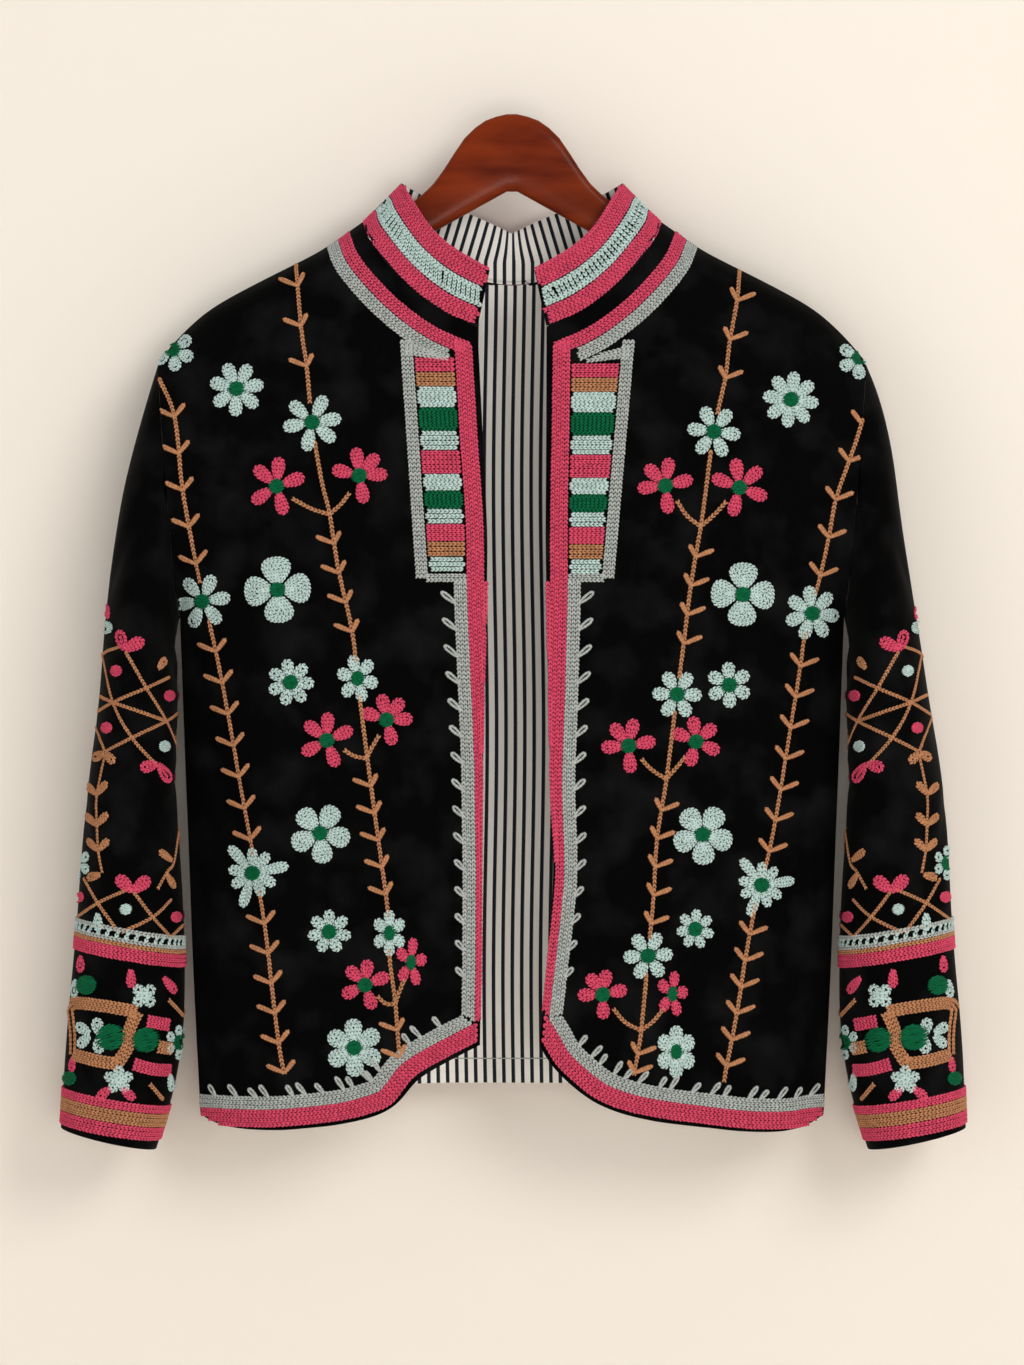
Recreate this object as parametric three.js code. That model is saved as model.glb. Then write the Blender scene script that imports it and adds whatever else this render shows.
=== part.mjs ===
// A short velvet jacket with a standing collar, hanging open on a plain wooden hanger.
// Millimetres, +Z up, +X to the viewer's right, the front faces -Y. The origin is the top of the
// hanger's crown. Each piece of cloth is a closed wall between an outer and an inner grid of points.
import * as THREE from "three";

// Walls and seams
const VELVET_WALL = 2.0;
const LINING_WALL = 1.0;
const SEAM_GAP = 0.3;
const LINING_GAP = 0.6; // between the velvet and the lining
const JACKET_LEVEL = -5.3; // drops on the jacket are measured from this height

// Depth of the body: a narrow ridge over the hanger's arms, then the cloth falls away from them
const RIDGE = { depth: 11, round: 2.2 };
const FALL = { front: 34, back: 27, round: 45 };
const INNER_SLOPE = 0.62; // the shoulder line carried on inside the neck
const SIDE_POWER = 4; // how late across the panel the depth starts to close towards the side
const SIDE_ROUND = 0.62;
const EDGE_POWER = { armhole: 12, seam: 40 }; // how near its edge a panel takes the edge's own depth
const ARMHOLE_DEPTH = 37;
const CLOSING_START = 40; // below the shoulder's end
const SEAM_EASE = 40; // above and below the underarm

// Grid counts
const ROWS = { count: 17, power: 1.6, beforeHem: 0.986 };
const NECK_CELLS = 7;
const SHOULDER_CELLS = 10;
const BACK_NECK_CELLS = 12;
const ARMHOLE_ROWS = 9;
const COLLAR_CELLS = 3;
const COLLAR_GAP = 0.7; // along the collar's slope, which leaves the seam gap between the two edges
const NECK_CENTRE = 30; // below the neck end of the shoulder: the collar's inside faces this point
const SLEEVE_RINGS = 18;
const SLEEVE_SIDES = 20;

// Shoulder line from the neck to the sleeve: distance from the middle, and drop
const SHOULDER = [
  { x: 113.5, drop: 77.5 },
  { x: 145, drop: 99.5 },
  { x: 180, drop: 117 },
  { x: 208, drop: 131.5 },
  { x: 227, drop: 142 },
  { x: 239, drop: 151.5 },
  { x: 250, drop: 162 },
  { x: 261, drop: 174 },
  { x: 268, drop: 183 },
];
// The armhole is straight from the shoulder's end to the underarm, where the side seam starts
const SIDE_SEAM = [
  { x: 252, drop: 380 },
  { x: 250, drop: 436 },
  { x: 248, drop: 493 },
  { x: 245.5, drop: 551 },
  { x: 243.5, drop: 610 },
  { x: 241, drop: 672 },
  { x: 238.5, drop: 718 },
  { x: 236.5, drop: 755 },
];
// Neck seam, front from the opening to the shoulder, back from the shoulder to the middle
const FRONT_NECK = [
  { x: 26, drop: 160 },
  { x: 51, drop: 149 },
  { x: 74.5, drop: 132 },
  { x: 93.5, drop: 113 },
  { x: 106, drop: 96 },
  { x: 113.5, drop: 77.5 },
];
const BACK_NECK = [
  { x: 113.5, drop: 77.5 },
  { x: 100, drop: 91 },
  { x: 70, drop: 107 },
  { x: 35, drop: 118 },
  { x: 0, drop: 124 },
];
// Front edges of the opening: distance from the middle on each side
const OPENING = [
  { drop: 160, left: 26, right: 26 },
  { drop: 240, left: 22, right: 25.7 },
  { drop: 324, left: 18, right: 25.1 },
  { drop: 436, left: 20.8, right: 27.3 },
  { drop: 508, left: 22, right: 28.7 },
  { drop: 560, left: 22.5, right: 32 },
  { drop: 591, left: 23, right: 31 },
  { drop: 637, left: 23, right: 26.5 },
  { drop: 699, left: 24, right: 20.4 },
];
// Hems from the middle out: each front curves up to the opening
const FRONT_HEM = {
  left: [
    { x: 24, drop: 699 },
    { x: 50, drop: 712.5 },
    { x: 71, drop: 725 },
    { x: 80, drop: 736 },
    { x: 88, drop: 745.5 },
    { x: 101, drop: 752 },
    { x: 129, drop: 759 },
    { x: 174, drop: 763.5 },
    { x: 204, drop: 763.5 },
    { x: 225, drop: 760.5 },
    { x: 236.5, drop: 755 },
  ],
  right: [
    { x: 20.4, drop: 699 },
    { x: 30, drop: 715 },
    { x: 46.5, drop: 731 },
    { x: 63, drop: 743 },
    { x: 85, drop: 751.5 },
    { x: 111, drop: 757 },
    { x: 141, drop: 761 },
    { x: 178.5, drop: 765 },
    { x: 208.5, drop: 765 },
    { x: 227, drop: 761 },
    { x: 236.5, drop: 755 },
  ],
};
const BACK_HEM = [
  { x: 0, drop: 734 },
  { x: 85, drop: 735 },
  { x: 150, drop: 741 },
  { x: 205, drop: 749 },
  { x: 236.5, drop: 755 },
];
// Soft upright folds of the body: x in the jacket's frame, lift is out of the cloth
const FOLDS = {
  front: [
    { x: -176, top: 300, bottom: 860, width: 20, lift: 5 },
    { x: -112, top: 380, bottom: 880, width: 17, lift: -4 },
    { x: -62, top: 250, bottom: 820, width: 15, lift: 3 },
    { x: -214, top: 210, bottom: 560, width: 16, lift: -5 },
    { x: 70, top: 320, bottom: 860, width: 17, lift: 3.5 },
    { x: 128, top: 260, bottom: 880, width: 20, lift: -4 },
    { x: 186, top: 330, bottom: 900, width: 19, lift: 5 },
    { x: 216, top: 200, bottom: 540, width: 15, lift: -5 },
  ],
  back: [
    { x: -190, top: 240, bottom: 880, width: 22, lift: 5 },
    { x: -118, top: 200, bottom: 820, width: 20, lift: -5 },
    { x: -44, top: 300, bottom: 900, width: 18, lift: 4 },
    { x: 22, top: 160, bottom: 700, width: 16, lift: -4 },
    { x: 88, top: 260, bottom: 880, width: 21, lift: 5 },
    { x: 160, top: 220, bottom: 840, width: 20, lift: -5 },
    { x: 212, top: 330, bottom: 900, width: 15, lift: 4 },
  ],
};
// Top edge of the collar from the front end round the side to the middle of the back
const COLLAR_TOP = {
  front: [
    { x: 17, y: -46, drop: 118 },
    { x: 34, y: -44, drop: 108.5 },
    { x: 49, y: -40, drop: 98 },
    { x: 62, y: -33, drop: 84.5 },
    { x: 72.5, y: -23, drop: 68 },
    { x: 80.5, y: -11, drop: 54 },
    { x: 84, y: 0, drop: 48 },
  ],
  back: [
    { x: 84, y: 0, drop: 48 },
    { x: 79, y: 12, drop: 50 },
    { x: 67, y: 24, drop: 56 },
    { x: 50, y: 32, drop: 62 },
    { x: 28, y: 36, drop: 70 },
    { x: 0, y: 37, drop: 83 },
  ],
};
// Sleeve rings from the armhole to the cuff: outer edge, inner edge, and half the depth
const SLEEVE = [
  { left: 268, right: 268, outDrop: 183, inX: 252, inDrop: 380, depth: 37 },
  { left: 276.5, right: 279.5, outDrop: 209, inX: 253.6, inDrop: 384, depth: 42 },
  { left: 288, right: 289, outDrop: 250, inX: 253.8, inDrop: 390, depth: 47 },
  { left: 297, right: 293.5, outDrop: 288, inX: 253.6, inDrop: 397, depth: 51 },
  { left: 304.5, right: 300.5, outDrop: 338, inX: 253.4, inDrop: 409, depth: 54 },
  { left: 312.5, right: 312.5, outDrop: 398, inX: 253, inDrop: 432, depth: 56 },
  { left: 318, right: 322.5, outDrop: 456, inX: 252.2, inDrop: 470, depth: 57 },
  { left: 324, right: 329.6, outDrop: 516, inX: 250.8, inDrop: 518, depth: 56 },
  { left: 329, right: 333.3, outDrop: 576, inX: 249.2, inDrop: 576, depth: 53 },
  { left: 333, right: 336.3, outDrop: 624, inX: 247.8, inDrop: 630, depth: 50 },
  { left: 337, right: 340.3, outDrop: 670, inX: 247.8, inDrop: 680, depth: 48 },
  { left: 340, right: 343.2, outDrop: 712, inX: 253, inDrop: 724, depth: 46 },
  { left: 341.6, right: 344.2, outDrop: 740, inX: 261, inDrop: 755, depth: 44.5 },
  { left: 343, right: 345, outDrop: 764, inX: 269.5, inDrop: 781, depth: 43 },
];
// Broad creases of the sleeves: where along, towards which side of the tube, and how deep
const SLEEVE_CREASES = [
  { ring: 3.2, toward: 150, width: 0.8, deep: 5 },
  { ring: 5.6, toward: 20, width: 0.7, deep: 4 },
  { ring: 6.9, toward: 205, width: 0.8, deep: 5 },
  { ring: 8.3, toward: 100, width: 0.7, deep: 4 },
  { ring: 8.9, toward: 300, width: 0.8, deep: 4.5 },
];
const CREASE_SPREAD = 50; // degrees round the tube

// Hanger: half outline of the crown, the arms' top edge, and the lower edge back to the middle
const HANGER = { thickness: 14, bevel: 3.5, bevelSteps: 3, topSteps: 40 };
const CROWN = [
  { x: 0, drop: 0 },
  { x: 19, drop: 5 },
  { x: 35.3, drop: 18.2 },
  { x: 46.8, drop: 35.2 },
  { x: 59, drop: 53 },
  { x: 75.5, drop: 68 },
  { x: 95, drop: 81 },
  { x: 113.5, drop: 92 },
  { x: 145, drop: 109.3 },
  { x: 180, drop: 126.9 },
  { x: 208, drop: 141.4 },
  { x: 219, drop: 148.5 },
];
const HANGER_LOWER = [
  { x: 227, drop: 157 },
  { x: 226, drop: 168 },
  { x: 217, drop: 174 },
  { x: 180, drop: 154.5 },
  { x: 113.5, drop: 120 },
  { x: 59, drop: 90.3 },
  { x: 0, drop: 57 },
];

const FINISH = {
  velvet: { color: 0x0a0a0c, roughness: 0.9, metalness: 0 },
  lining: { color: 0xd9d4ca, roughness: 0.85, metalness: 0 },
  wood: { color: 0x6e260f, roughness: 0.35, metalness: 0 },
};

const UNDERARM = SIDE_SEAM[0];
const SHOULDER_END = SHOULDER[SHOULDER.length - 1];

// 0 below the first value, 1 above the second, smooth between them
function smooth(from, to, value) {
  return THREE.MathUtils.smoothstep(value, from, to);
}

// The value of one column of a table at a place in another column
function tableAt(rows, key, column, at) {
  const last = rows.length - 1;
  if (at <= rows[0][key]) return rows[0][column];
  if (at >= rows[last][key]) return rows[last][column];
  const next = rows.findIndex((row) => row[key] >= at);
  const [a, b] = [rows[next - 1], rows[next]];
  return THREE.MathUtils.mapLinear(at, a[key], b[key], a[column], b[column]);
}

// Points at even steps along a smooth curve through a table's rows
function alongTable(rows, cells, columns) {
  const points = rows.map((row) => new THREE.Vector3(...columns.map((name) => row[name])));
  const curve = new THREE.CatmullRomCurve3(points, false, "centripetal");
  return curve.getSpacedPoints(cells);
}

// Drop of the shoulder line at x
function shoulderDrop(x) {
  const reach = Math.abs(x);
  const neck = SHOULDER[0];
  if (reach < neck.x) return neck.drop - (neck.x - reach) * INNER_SLOPE;
  return tableAt(SHOULDER, "x", "drop", reach);
}

// Distance of the armhole or the side seam from the middle
function sideX(drop) {
  if (drop >= UNDERARM.drop) return tableAt(SIDE_SEAM, "drop", "x", drop);
  return tableAt([SHOULDER_END, UNDERARM], "drop", "x", drop);
}

// Half the depth of the armhole at a drop: it closes at the shoulder and at the underarm
function armholeDepth(drop) {
  const middle = (SHOULDER_END.drop + UNDERARM.drop) / 2;
  const half = (UNDERARM.drop - SHOULDER_END.drop) / 2;
  const away = (drop - middle) / half;
  return ARMHOLE_DEPTH * Math.sqrt(Math.max(0, 1 - away * away));
}

// How far the folds lift the cloth at a place
function foldLift(folds, x, drop) {
  return folds.reduce((sum, fold) => {
    const across = Math.exp(-(((x - fold.x) / fold.width) ** 2));
    const middle = (fold.top + fold.bottom) / 2;
    const down = smooth(fold.top, middle, drop) * (1 - smooth(middle, fold.bottom, drop));
    return sum + fold.lift * across * down;
  }, 0);
}

// Depth of the front or the back at a place, from the middle plane outwards
function bodyDepth(face, x, drop) {
  const below = Math.max(0, drop - shoulderDrop(x));
  const open =
    RIDGE.depth * (1 - Math.exp(-below / RIDGE.round)) +
    FALL[face] * (1 - Math.exp(-below / FALL.round));
  const share = Math.min(1, Math.abs(x) / sideX(drop));
  const rounding = (1 - share ** SIDE_POWER) ** SIDE_ROUND;
  const atSide = armholeDepth(drop);
  const closed = atSide + (open - atSide) * rounding;
  const closing = smooth(SHOULDER_END.drop + CLOSING_START, UNDERARM.drop, drop);
  const seam = smooth(UNDERARM.drop - SEAM_EASE, UNDERARM.drop + SEAM_EASE, drop);
  const edge = share ** THREE.MathUtils.lerp(EDGE_POWER.armhole, EDGE_POWER.seam, seam);
  const lift = foldLift(FOLDS[face], x, drop) * Math.min(1, rounding * 2);
  return THREE.MathUtils.lerp(THREE.MathUtils.lerp(open, closed, closing) + lift, atSide, edge);
}

// Shares down a panel, closer together at the shoulder, with one row just above the hem
function rowShares() {
  const shares = Array.from({ length: ROWS.count }, (_, j) => (j / ROWS.count) ** ROWS.power);
  return [...shares, ROWS.beforeHem, 1];
}
const SHARES = rowShares();

// A flat grid between four edges, each a list of places { x, y } with y as the drop
function flatGrid(top, bottom, first, last) {
  const columns = top.length - 1;
  return SHARES.map((v, j) =>
    top.map((_, i) => {
      const u = i / columns;
      const mix = (axis) =>
        (1 - v) * top[i][axis] +
        v * bottom[i][axis] +
        (1 - u) * first[j][axis] +
        u * last[j][axis] -
        (1 - u) * (1 - v) * top[0][axis] -
        u * (1 - v) * top[columns][axis] -
        (1 - u) * v * bottom[0][axis] -
        u * v * bottom[columns][axis];
      return { x: mix("x"), y: mix("y") };
    }),
  );
}

// The places of the side edge: down the armhole, then down the side seam to the hem
function sideEdge() {
  const seamRows = SHARES.length - 1 - ARMHOLE_ROWS;
  return SHARES.map((share, j) => {
    const drop =
      j <= ARMHOLE_ROWS
        ? THREE.MathUtils.lerp(
            SHOULDER_END.drop,
            UNDERARM.drop,
            share / SHARES[ARMHOLE_ROWS],
          )
        : THREE.MathUtils.lerp(
            UNDERARM.drop,
            SIDE_SEAM[SIDE_SEAM.length - 1].drop,
            (share - SHARES[ARMHOLE_ROWS]) / (1 - SHARES[ARMHOLE_ROWS]),
          );
    return { x: sideX(drop), y: drop };
  });
}

// Flat grid of one front, from the opening to the side, with x away from the middle
function frontGrid(side) {
  const neck = alongTable(FRONT_NECK, NECK_CELLS, ["x", "drop", "drop"]);
  const shoulder = alongTable(SHOULDER, SHOULDER_CELLS, ["x", "drop", "drop"]);
  const top = [...neck, ...shoulder.slice(1)].map(({ x, y }) => ({ x, y }));
  const hem = alongTable(FRONT_HEM[side], top.length - 1, ["x", "drop", "drop"]);
  const [start, end] = [OPENING[0].drop, OPENING[OPENING.length - 1].drop];
  const opening = SHARES.map((share) => {
    const drop = THREE.MathUtils.lerp(start, end, share);
    return { x: tableAt(OPENING, "drop", side, drop), y: drop };
  });
  return flatGrid(top, hem, opening, sideEdge());
}

// Flat grid of the back, from the left side to the right side
function backGrid() {
  const mirrored = (points) => points.map(({ x, y }) => ({ x: -x, y }));
  const shoulder = alongTable(SHOULDER, SHOULDER_CELLS, ["x", "drop", "drop"]);
  const neck = alongTable(BACK_NECK, BACK_NECK_CELLS / 2, ["x", "drop", "drop"]);
  const half = [...[...shoulder].reverse(), ...neck.slice(1)].map(({ x, y }) => ({ x, y }));
  const top = [...mirrored(half), ...[...half].reverse().slice(1)];
  const hemHalf = alongTable(BACK_HEM, half.length - 1, ["x", "drop", "drop"]);
  const hem = [...mirrored([...hemHalf].reverse()), ...hemHalf.slice(1)];
  return flatGrid(top, hem, mirrored(sideEdge()), sideEdge());
}

// The unit normal of a grid at one point, turned to the side that faces the given direction
function gridNormal(grid, j, i, facing) {
  const [rows, columns] = [grid.length - 1, grid[0].length - 1];
  const along = grid[j][Math.min(i + 1, columns)].clone().sub(grid[j][Math.max(i - 1, 0)]);
  const down = grid[Math.min(j + 1, rows)][i].clone().sub(grid[Math.max(j - 1, 0)][i]);
  const normal = along.cross(down).normalize();
  return normal.dot(facing) < 0 ? normal.negate() : normal;
}

// A grid moved inwards by a distance along its own normals, which face the given direction
function movedIn(grid, distance, facing) {
  return grid.map((row, j) =>
    row.map((point, i) => point.clone().addScaledVector(gridNormal(grid, j, i, facing), distance)),
  );
}

// Keeps a body point on its own side of the side seams and inside the plane of the armholes
function keptInBody(point, towards) {
  const held = point.clone();
  const nearest = SEAM_GAP / 2;
  held.y = towards * Math.max(nearest, towards * held.y);
  const edge = sideX(-held.z);
  held.x = THREE.MathUtils.clamp(held.x, -edge, edge);
  return held;
}

// The closed wall between an outer and an inner grid; a tube's columns run all the way round
function wallGeometry(outer, inner, tube = false) {
  const rows = outer.length;
  const columns = outer[0].length;
  const positions = [...outer.flat(), ...inner.flat()].flatMap((p) => [p.x, p.y, p.z]);
  const at = (layer, j, i) => layer * rows * columns + j * columns + (i % columns);
  const faces = [];
  const quad = (a, b, c, d) => faces.push(a, b, c, a, c, d);
  const cells = tube ? columns : columns - 1;
  for (let i = 0; i < cells; i++) {
    for (let j = 0; j < rows - 1; j++) {
      quad(at(0, j, i), at(0, j, i + 1), at(0, j + 1, i + 1), at(0, j + 1, i));
      quad(at(1, j, i), at(1, j + 1, i), at(1, j + 1, i + 1), at(1, j, i + 1));
    }
    quad(at(0, 0, i), at(1, 0, i), at(1, 0, i + 1), at(0, 0, i + 1));
    quad(at(0, rows - 1, i), at(0, rows - 1, i + 1), at(1, rows - 1, i + 1), at(1, rows - 1, i));
  }
  for (let j = 0; j < rows - 1 && !tube; j++) {
    const end = columns - 1;
    quad(at(0, j, 0), at(0, j + 1, 0), at(1, j + 1, 0), at(1, j, 0));
    quad(at(0, j, end), at(1, j, end), at(1, j + 1, end), at(0, j + 1, end));
  }
  const geometry = new THREE.BufferGeometry();
  geometry.setAttribute("position", new THREE.Float32BufferAttribute(positions, 3));
  geometry.setIndex(faces);
  if (signedVolume(positions, faces) < 0) {
    for (let k = 0; k < faces.length; k += 3) {
      [faces[k + 1], faces[k + 2]] = [faces[k + 2], faces[k + 1]];
    }
    geometry.setIndex(faces);
  }
  geometry.computeVertexNormals();
  return geometry;
}

// Six times the volume inside a triangle mesh, negative when its faces point in
function signedVolume(positions, faces) {
  const corner = (k) => new THREE.Vector3().fromArray(positions, faces[k] * 3);
  let sum = 0;
  for (let k = 0; k < faces.length; k += 3) {
    sum += corner(k).dot(corner(k + 1).cross(corner(k + 2)));
  }
  return sum;
}

function piece(name, geometry, finish) {
  const mesh = new THREE.Mesh(geometry, new THREE.MeshStandardMaterial(FINISH[finish]));
  mesh.name = name;
  return mesh;
}

// Outer and inner grids of a body panel; towards is -1 on the front and 1 on the back
function bodyPanel(flat, face, mirror = 1) {
  const towards = face === "front" ? -1 : 1;
  const raised = flat.map((row) =>
    row.map(({ x, y: drop }) => {
      const depth = bodyDepth(face, mirror * x, drop);
      return new THREE.Vector3(mirror * x, towards * depth, -drop);
    }),
  );
  const outer = raised.map((row) => row.map((point) => keptInBody(point, towards)));
  const facing = new THREE.Vector3(0, -towards, -1);
  const inside = (distance) =>
    movedIn(raised, distance, facing).map((row) => row.map((point) => keptInBody(point, towards)));
  return { outer, inner: inside(VELVET_WALL), inside };
}

// The back lining lies on the back's own points, moved in, one row and one column short of them
function liningGeometry(back) {
  const trimmed = (grid) => grid.slice(1, -1).map((row) => row.slice(1, -1));
  const outer = trimmed(back.inside(VELVET_WALL + LINING_GAP));
  const inner = trimmed(back.inside(VELVET_WALL + LINING_GAP + LINING_WALL));
  return wallGeometry(outer, inner);
}

// The neck seam as pairs of outer and inner points: left front, back, right front
function neckSeam(fronts, back) {
  const pairs = (panel, from, to) =>
    panel.outer[0].slice(from, to + 1).map((outer, k) => ({
      outer,
      inner: panel.inner[0][from + k],
    }));
  const left = pairs(fronts.left, 0, NECK_CELLS);
  const right = pairs(fronts.right, 0, NECK_CELLS).reverse();
  const middle = pairs(back, SHOULDER_CELLS, SHOULDER_CELLS + BACK_NECK_CELLS);
  return [...left, ...middle.slice(1, -1), ...right];
}

// The collar's top edge, one point for each place on the neck seam
function collarTopEdge() {
  const columns = ["x", "y", "drop"];
  const front = alongTable(COLLAR_TOP.front, NECK_CELLS, columns);
  const back = alongTable(COLLAR_TOP.back, BACK_NECK_CELLS / 2, columns);
  const half = [...front, ...back.slice(1)];
  const placed = (side) => half.map(({ x, y, z }) => new THREE.Vector3(side * x, y, -z));
  return [...placed(-1), ...placed(1).reverse().slice(1)];
}

// The collar rises straight from the neck seam to its top edge
function collarGrids(seam) {
  const top = collarTopEdge();
  const rise = seam.map(({ outer }, k) => top[k].clone().sub(outer).normalize());
  const foot = seam.map(({ outer }, k) => outer.clone().addScaledVector(rise[k], COLLAR_GAP));
  const level = (share) => foot.map((point, k) => point.clone().lerp(top[k], share));
  const shares = Array.from({ length: COLLAR_CELLS + 1 }, (_, j) => j / COLLAR_CELLS);
  const outer = shares.map(level);
  const centre = new THREE.Vector3(0, 0, -SHOULDER[0].drop - NECK_CENTRE);
  const inside = (distance) =>
    outer.map((row, j) =>
      row.map((point, k) => {
        const facing = centre.clone().sub(point);
        const normal = gridNormal(outer, j, k, facing);
        const seamWay = seam[k].inner.clone().sub(seam[k].outer).normalize();
        return point.clone().addScaledVector(j === 0 ? seamWay : normal, distance);
      }),
    );
  return { outer, inner: inside(VELVET_WALL), inside };
}

// The collar lining runs between two levels of the collar's own inner points
function collarLiningGeometry(collar) {
  const [low, high] = [0.06, 0.94];
  const between = (grid) =>
    grid.map((row, j) => {
      const other = j === 0 ? grid[1] : grid[j - 1];
      const share = j === 0 ? low * COLLAR_CELLS : (1 - high) * COLLAR_CELLS;
      const inset = j === 0 || j === grid.length - 1 ? share : 0;
      return row.map((point, k) => point.clone().lerp(other[k], inset)).slice(1, -1);
    });
  const outer = between(collar.inside(VELVET_WALL + LINING_GAP));
  const inner = between(collar.inside(VELVET_WALL + LINING_GAP + LINING_WALL));
  return wallGeometry(outer, inner);
}

// How deep the sleeve's creases press in at a ring and an angle round the tube
function creaseDepth(ring, degrees) {
  return SLEEVE_CREASES.reduce((sum, crease) => {
    const along = Math.exp(-(((ring - crease.ring) / crease.width) ** 2));
    const turn = THREE.MathUtils.euclideanModulo(degrees - crease.toward + 180, 360) - 180;
    return sum + crease.deep * along * Math.exp(-((turn / CREASE_SPREAD) ** 2));
  }, 0);
}

// Rings of a sleeve, each an oval through its outer edge and its inner edge
function sleeveGeometry(side) {
  const sign = side === "left" ? -1 : 1;
  const last = SLEEVE.length - 1;
  const column = (name, at) => {
    const rows = SLEEVE.map((row, index) => new THREE.Vector3(index, row[name], 0));
    const curve = new THREE.CatmullRomCurve3(rows, false, "centripetal");
    return curve.getPoint(at / last).y;
  };
  const ring = (step, inset) => {
    const at = (step / SLEEVE_RINGS) * last;
    const gap = step === 0 ? SEAM_GAP : 0;
    const outEdge = new THREE.Vector3(column(side, at) + gap, 0, -column("outDrop", at));
    const inEdge = new THREE.Vector3(column("inX", at) + gap, 0, -column("inDrop", at));
    const middle = outEdge.clone().lerp(inEdge, 0.5);
    const half = outEdge.distanceTo(inEdge) / 2;
    const across = outEdge.clone().sub(inEdge).normalize();
    return Array.from({ length: SLEEVE_SIDES }, (_, k) => {
      const turn = (k / SLEEVE_SIDES) * 2 * Math.PI;
      const pressed = inset + creaseDepth(at, (k / SLEEVE_SIDES) * 360);
      const point = middle.clone().addScaledVector(across, (half - pressed) * Math.cos(turn));
      point.y = -(column("depth", at) - pressed) * Math.sin(turn);
      point.x *= sign;
      return point;
    });
  };
  const rings = (inset) => Array.from({ length: SLEEVE_RINGS + 1 }, (_, step) => ring(step, inset));
  return wallGeometry(rings(0), rings(VELVET_WALL), true);
}

// The hanger is one board with rounded edges
function hangerGeometry() {
  const upper = alongTable(CROWN, HANGER.topSteps, ["x", "drop", "drop"]).map(({ x, y }) => [x, -y]);
  const lower = HANGER_LOWER.map(({ x, drop }) => [x, -drop]);
  const right = [...upper, ...lower];
  const left = right.slice(1, -1).reverse();
  const outline = [...right, ...left.map(([x, y]) => [-x, y])];
  const inset = outline.map(([x, y], k) => {
    const [px, py] = outline[(k + outline.length - 1) % outline.length];
    const [nx, ny] = outline[(k + 1) % outline.length];
    const length = Math.hypot(nx - px, ny - py);
    const inward = new THREE.Vector2(ny - py, px - nx).divideScalar(length);
    return new THREE.Vector2(x, y).addScaledVector(inward, HANGER.bevel);
  });
  const geometry = new THREE.ExtrudeGeometry(new THREE.Shape(inset), {
    depth: HANGER.thickness - 2 * HANGER.bevel,
    bevelThickness: HANGER.bevel,
    bevelSize: HANGER.bevel,
    bevelSegments: HANGER.bevelSteps,
    curveSegments: 1,
    steps: 1,
  });
  geometry.translate(0, 0, HANGER.bevel - HANGER.thickness / 2);
  geometry.rotateX(Math.PI / 2);
  return geometry;
}

const fronts = {
  left: bodyPanel(frontGrid("left"), "front", -1),
  right: bodyPanel(frontGrid("right"), "front", 1),
};
const back = bodyPanel(backGrid(), "back");
const collar = collarGrids(neckSeam(fronts, back));

const jacket = new THREE.Group();
jacket.position.z = JACKET_LEVEL;
jacket.add(piece("front_left", wallGeometry(fronts.left.outer, fronts.left.inner), "velvet"));
jacket.add(piece("front_right", wallGeometry(fronts.right.outer, fronts.right.inner), "velvet"));
jacket.add(piece("back", wallGeometry(back.outer, back.inner), "velvet"));
jacket.add(piece("back_lining", liningGeometry(back), "lining"));
jacket.add(piece("collar", wallGeometry(collar.outer, collar.inner), "velvet"));
jacket.add(piece("collar_lining", collarLiningGeometry(collar), "lining"));
jacket.add(piece("sleeve_left", sleeveGeometry("left"), "velvet"));
jacket.add(piece("sleeve_right", sleeveGeometry("right"), "velvet"));

const hung = new THREE.Group();
hung.add(piece("hanger", hangerGeometry(), "wood"));
hung.add(jacket);

export default hung;
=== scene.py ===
# %% [markdown]
# # An embroidered velvet jacket on a wooden hanger
#
# The real thing is a short open jacket of black cotton velvet. It is lined with striped cotton, edged
# with flat bands of yarn and covered with vines and flowers in chain stitch, and it hangs on a shaped
# wooden hanger. The solid model already gives each piece its size and place. These cells give the
# pieces their looks: soft cloth shells, yarn laid stitch by stitch, varnished wood, and light.

# %% Load the model
import math

import bmesh
import bpy
import numpy as np
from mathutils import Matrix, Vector
from mathutils.bvhtree import BVHTree


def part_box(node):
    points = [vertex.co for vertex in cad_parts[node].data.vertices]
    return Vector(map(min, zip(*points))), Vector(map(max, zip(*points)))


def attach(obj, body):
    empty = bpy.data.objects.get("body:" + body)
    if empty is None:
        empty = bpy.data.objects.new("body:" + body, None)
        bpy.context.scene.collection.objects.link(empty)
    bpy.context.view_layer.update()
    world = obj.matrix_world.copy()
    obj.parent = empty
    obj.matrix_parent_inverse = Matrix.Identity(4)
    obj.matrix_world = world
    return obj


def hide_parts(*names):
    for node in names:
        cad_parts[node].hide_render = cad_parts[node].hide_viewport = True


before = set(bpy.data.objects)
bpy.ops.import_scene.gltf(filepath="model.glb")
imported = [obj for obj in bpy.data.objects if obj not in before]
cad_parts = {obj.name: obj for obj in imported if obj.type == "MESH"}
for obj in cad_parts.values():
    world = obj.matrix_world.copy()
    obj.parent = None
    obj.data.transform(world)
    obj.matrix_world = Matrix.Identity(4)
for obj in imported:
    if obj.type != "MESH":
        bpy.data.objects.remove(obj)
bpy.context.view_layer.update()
MM = 0.001


def rows(columns, *lines):
    """A table: one dictionary for each line, with the columns' names. Last columns may be left out."""
    return [dict(zip(columns, line)) for line in lines]


print("nodes:", ", ".join(sorted(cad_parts)))
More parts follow.
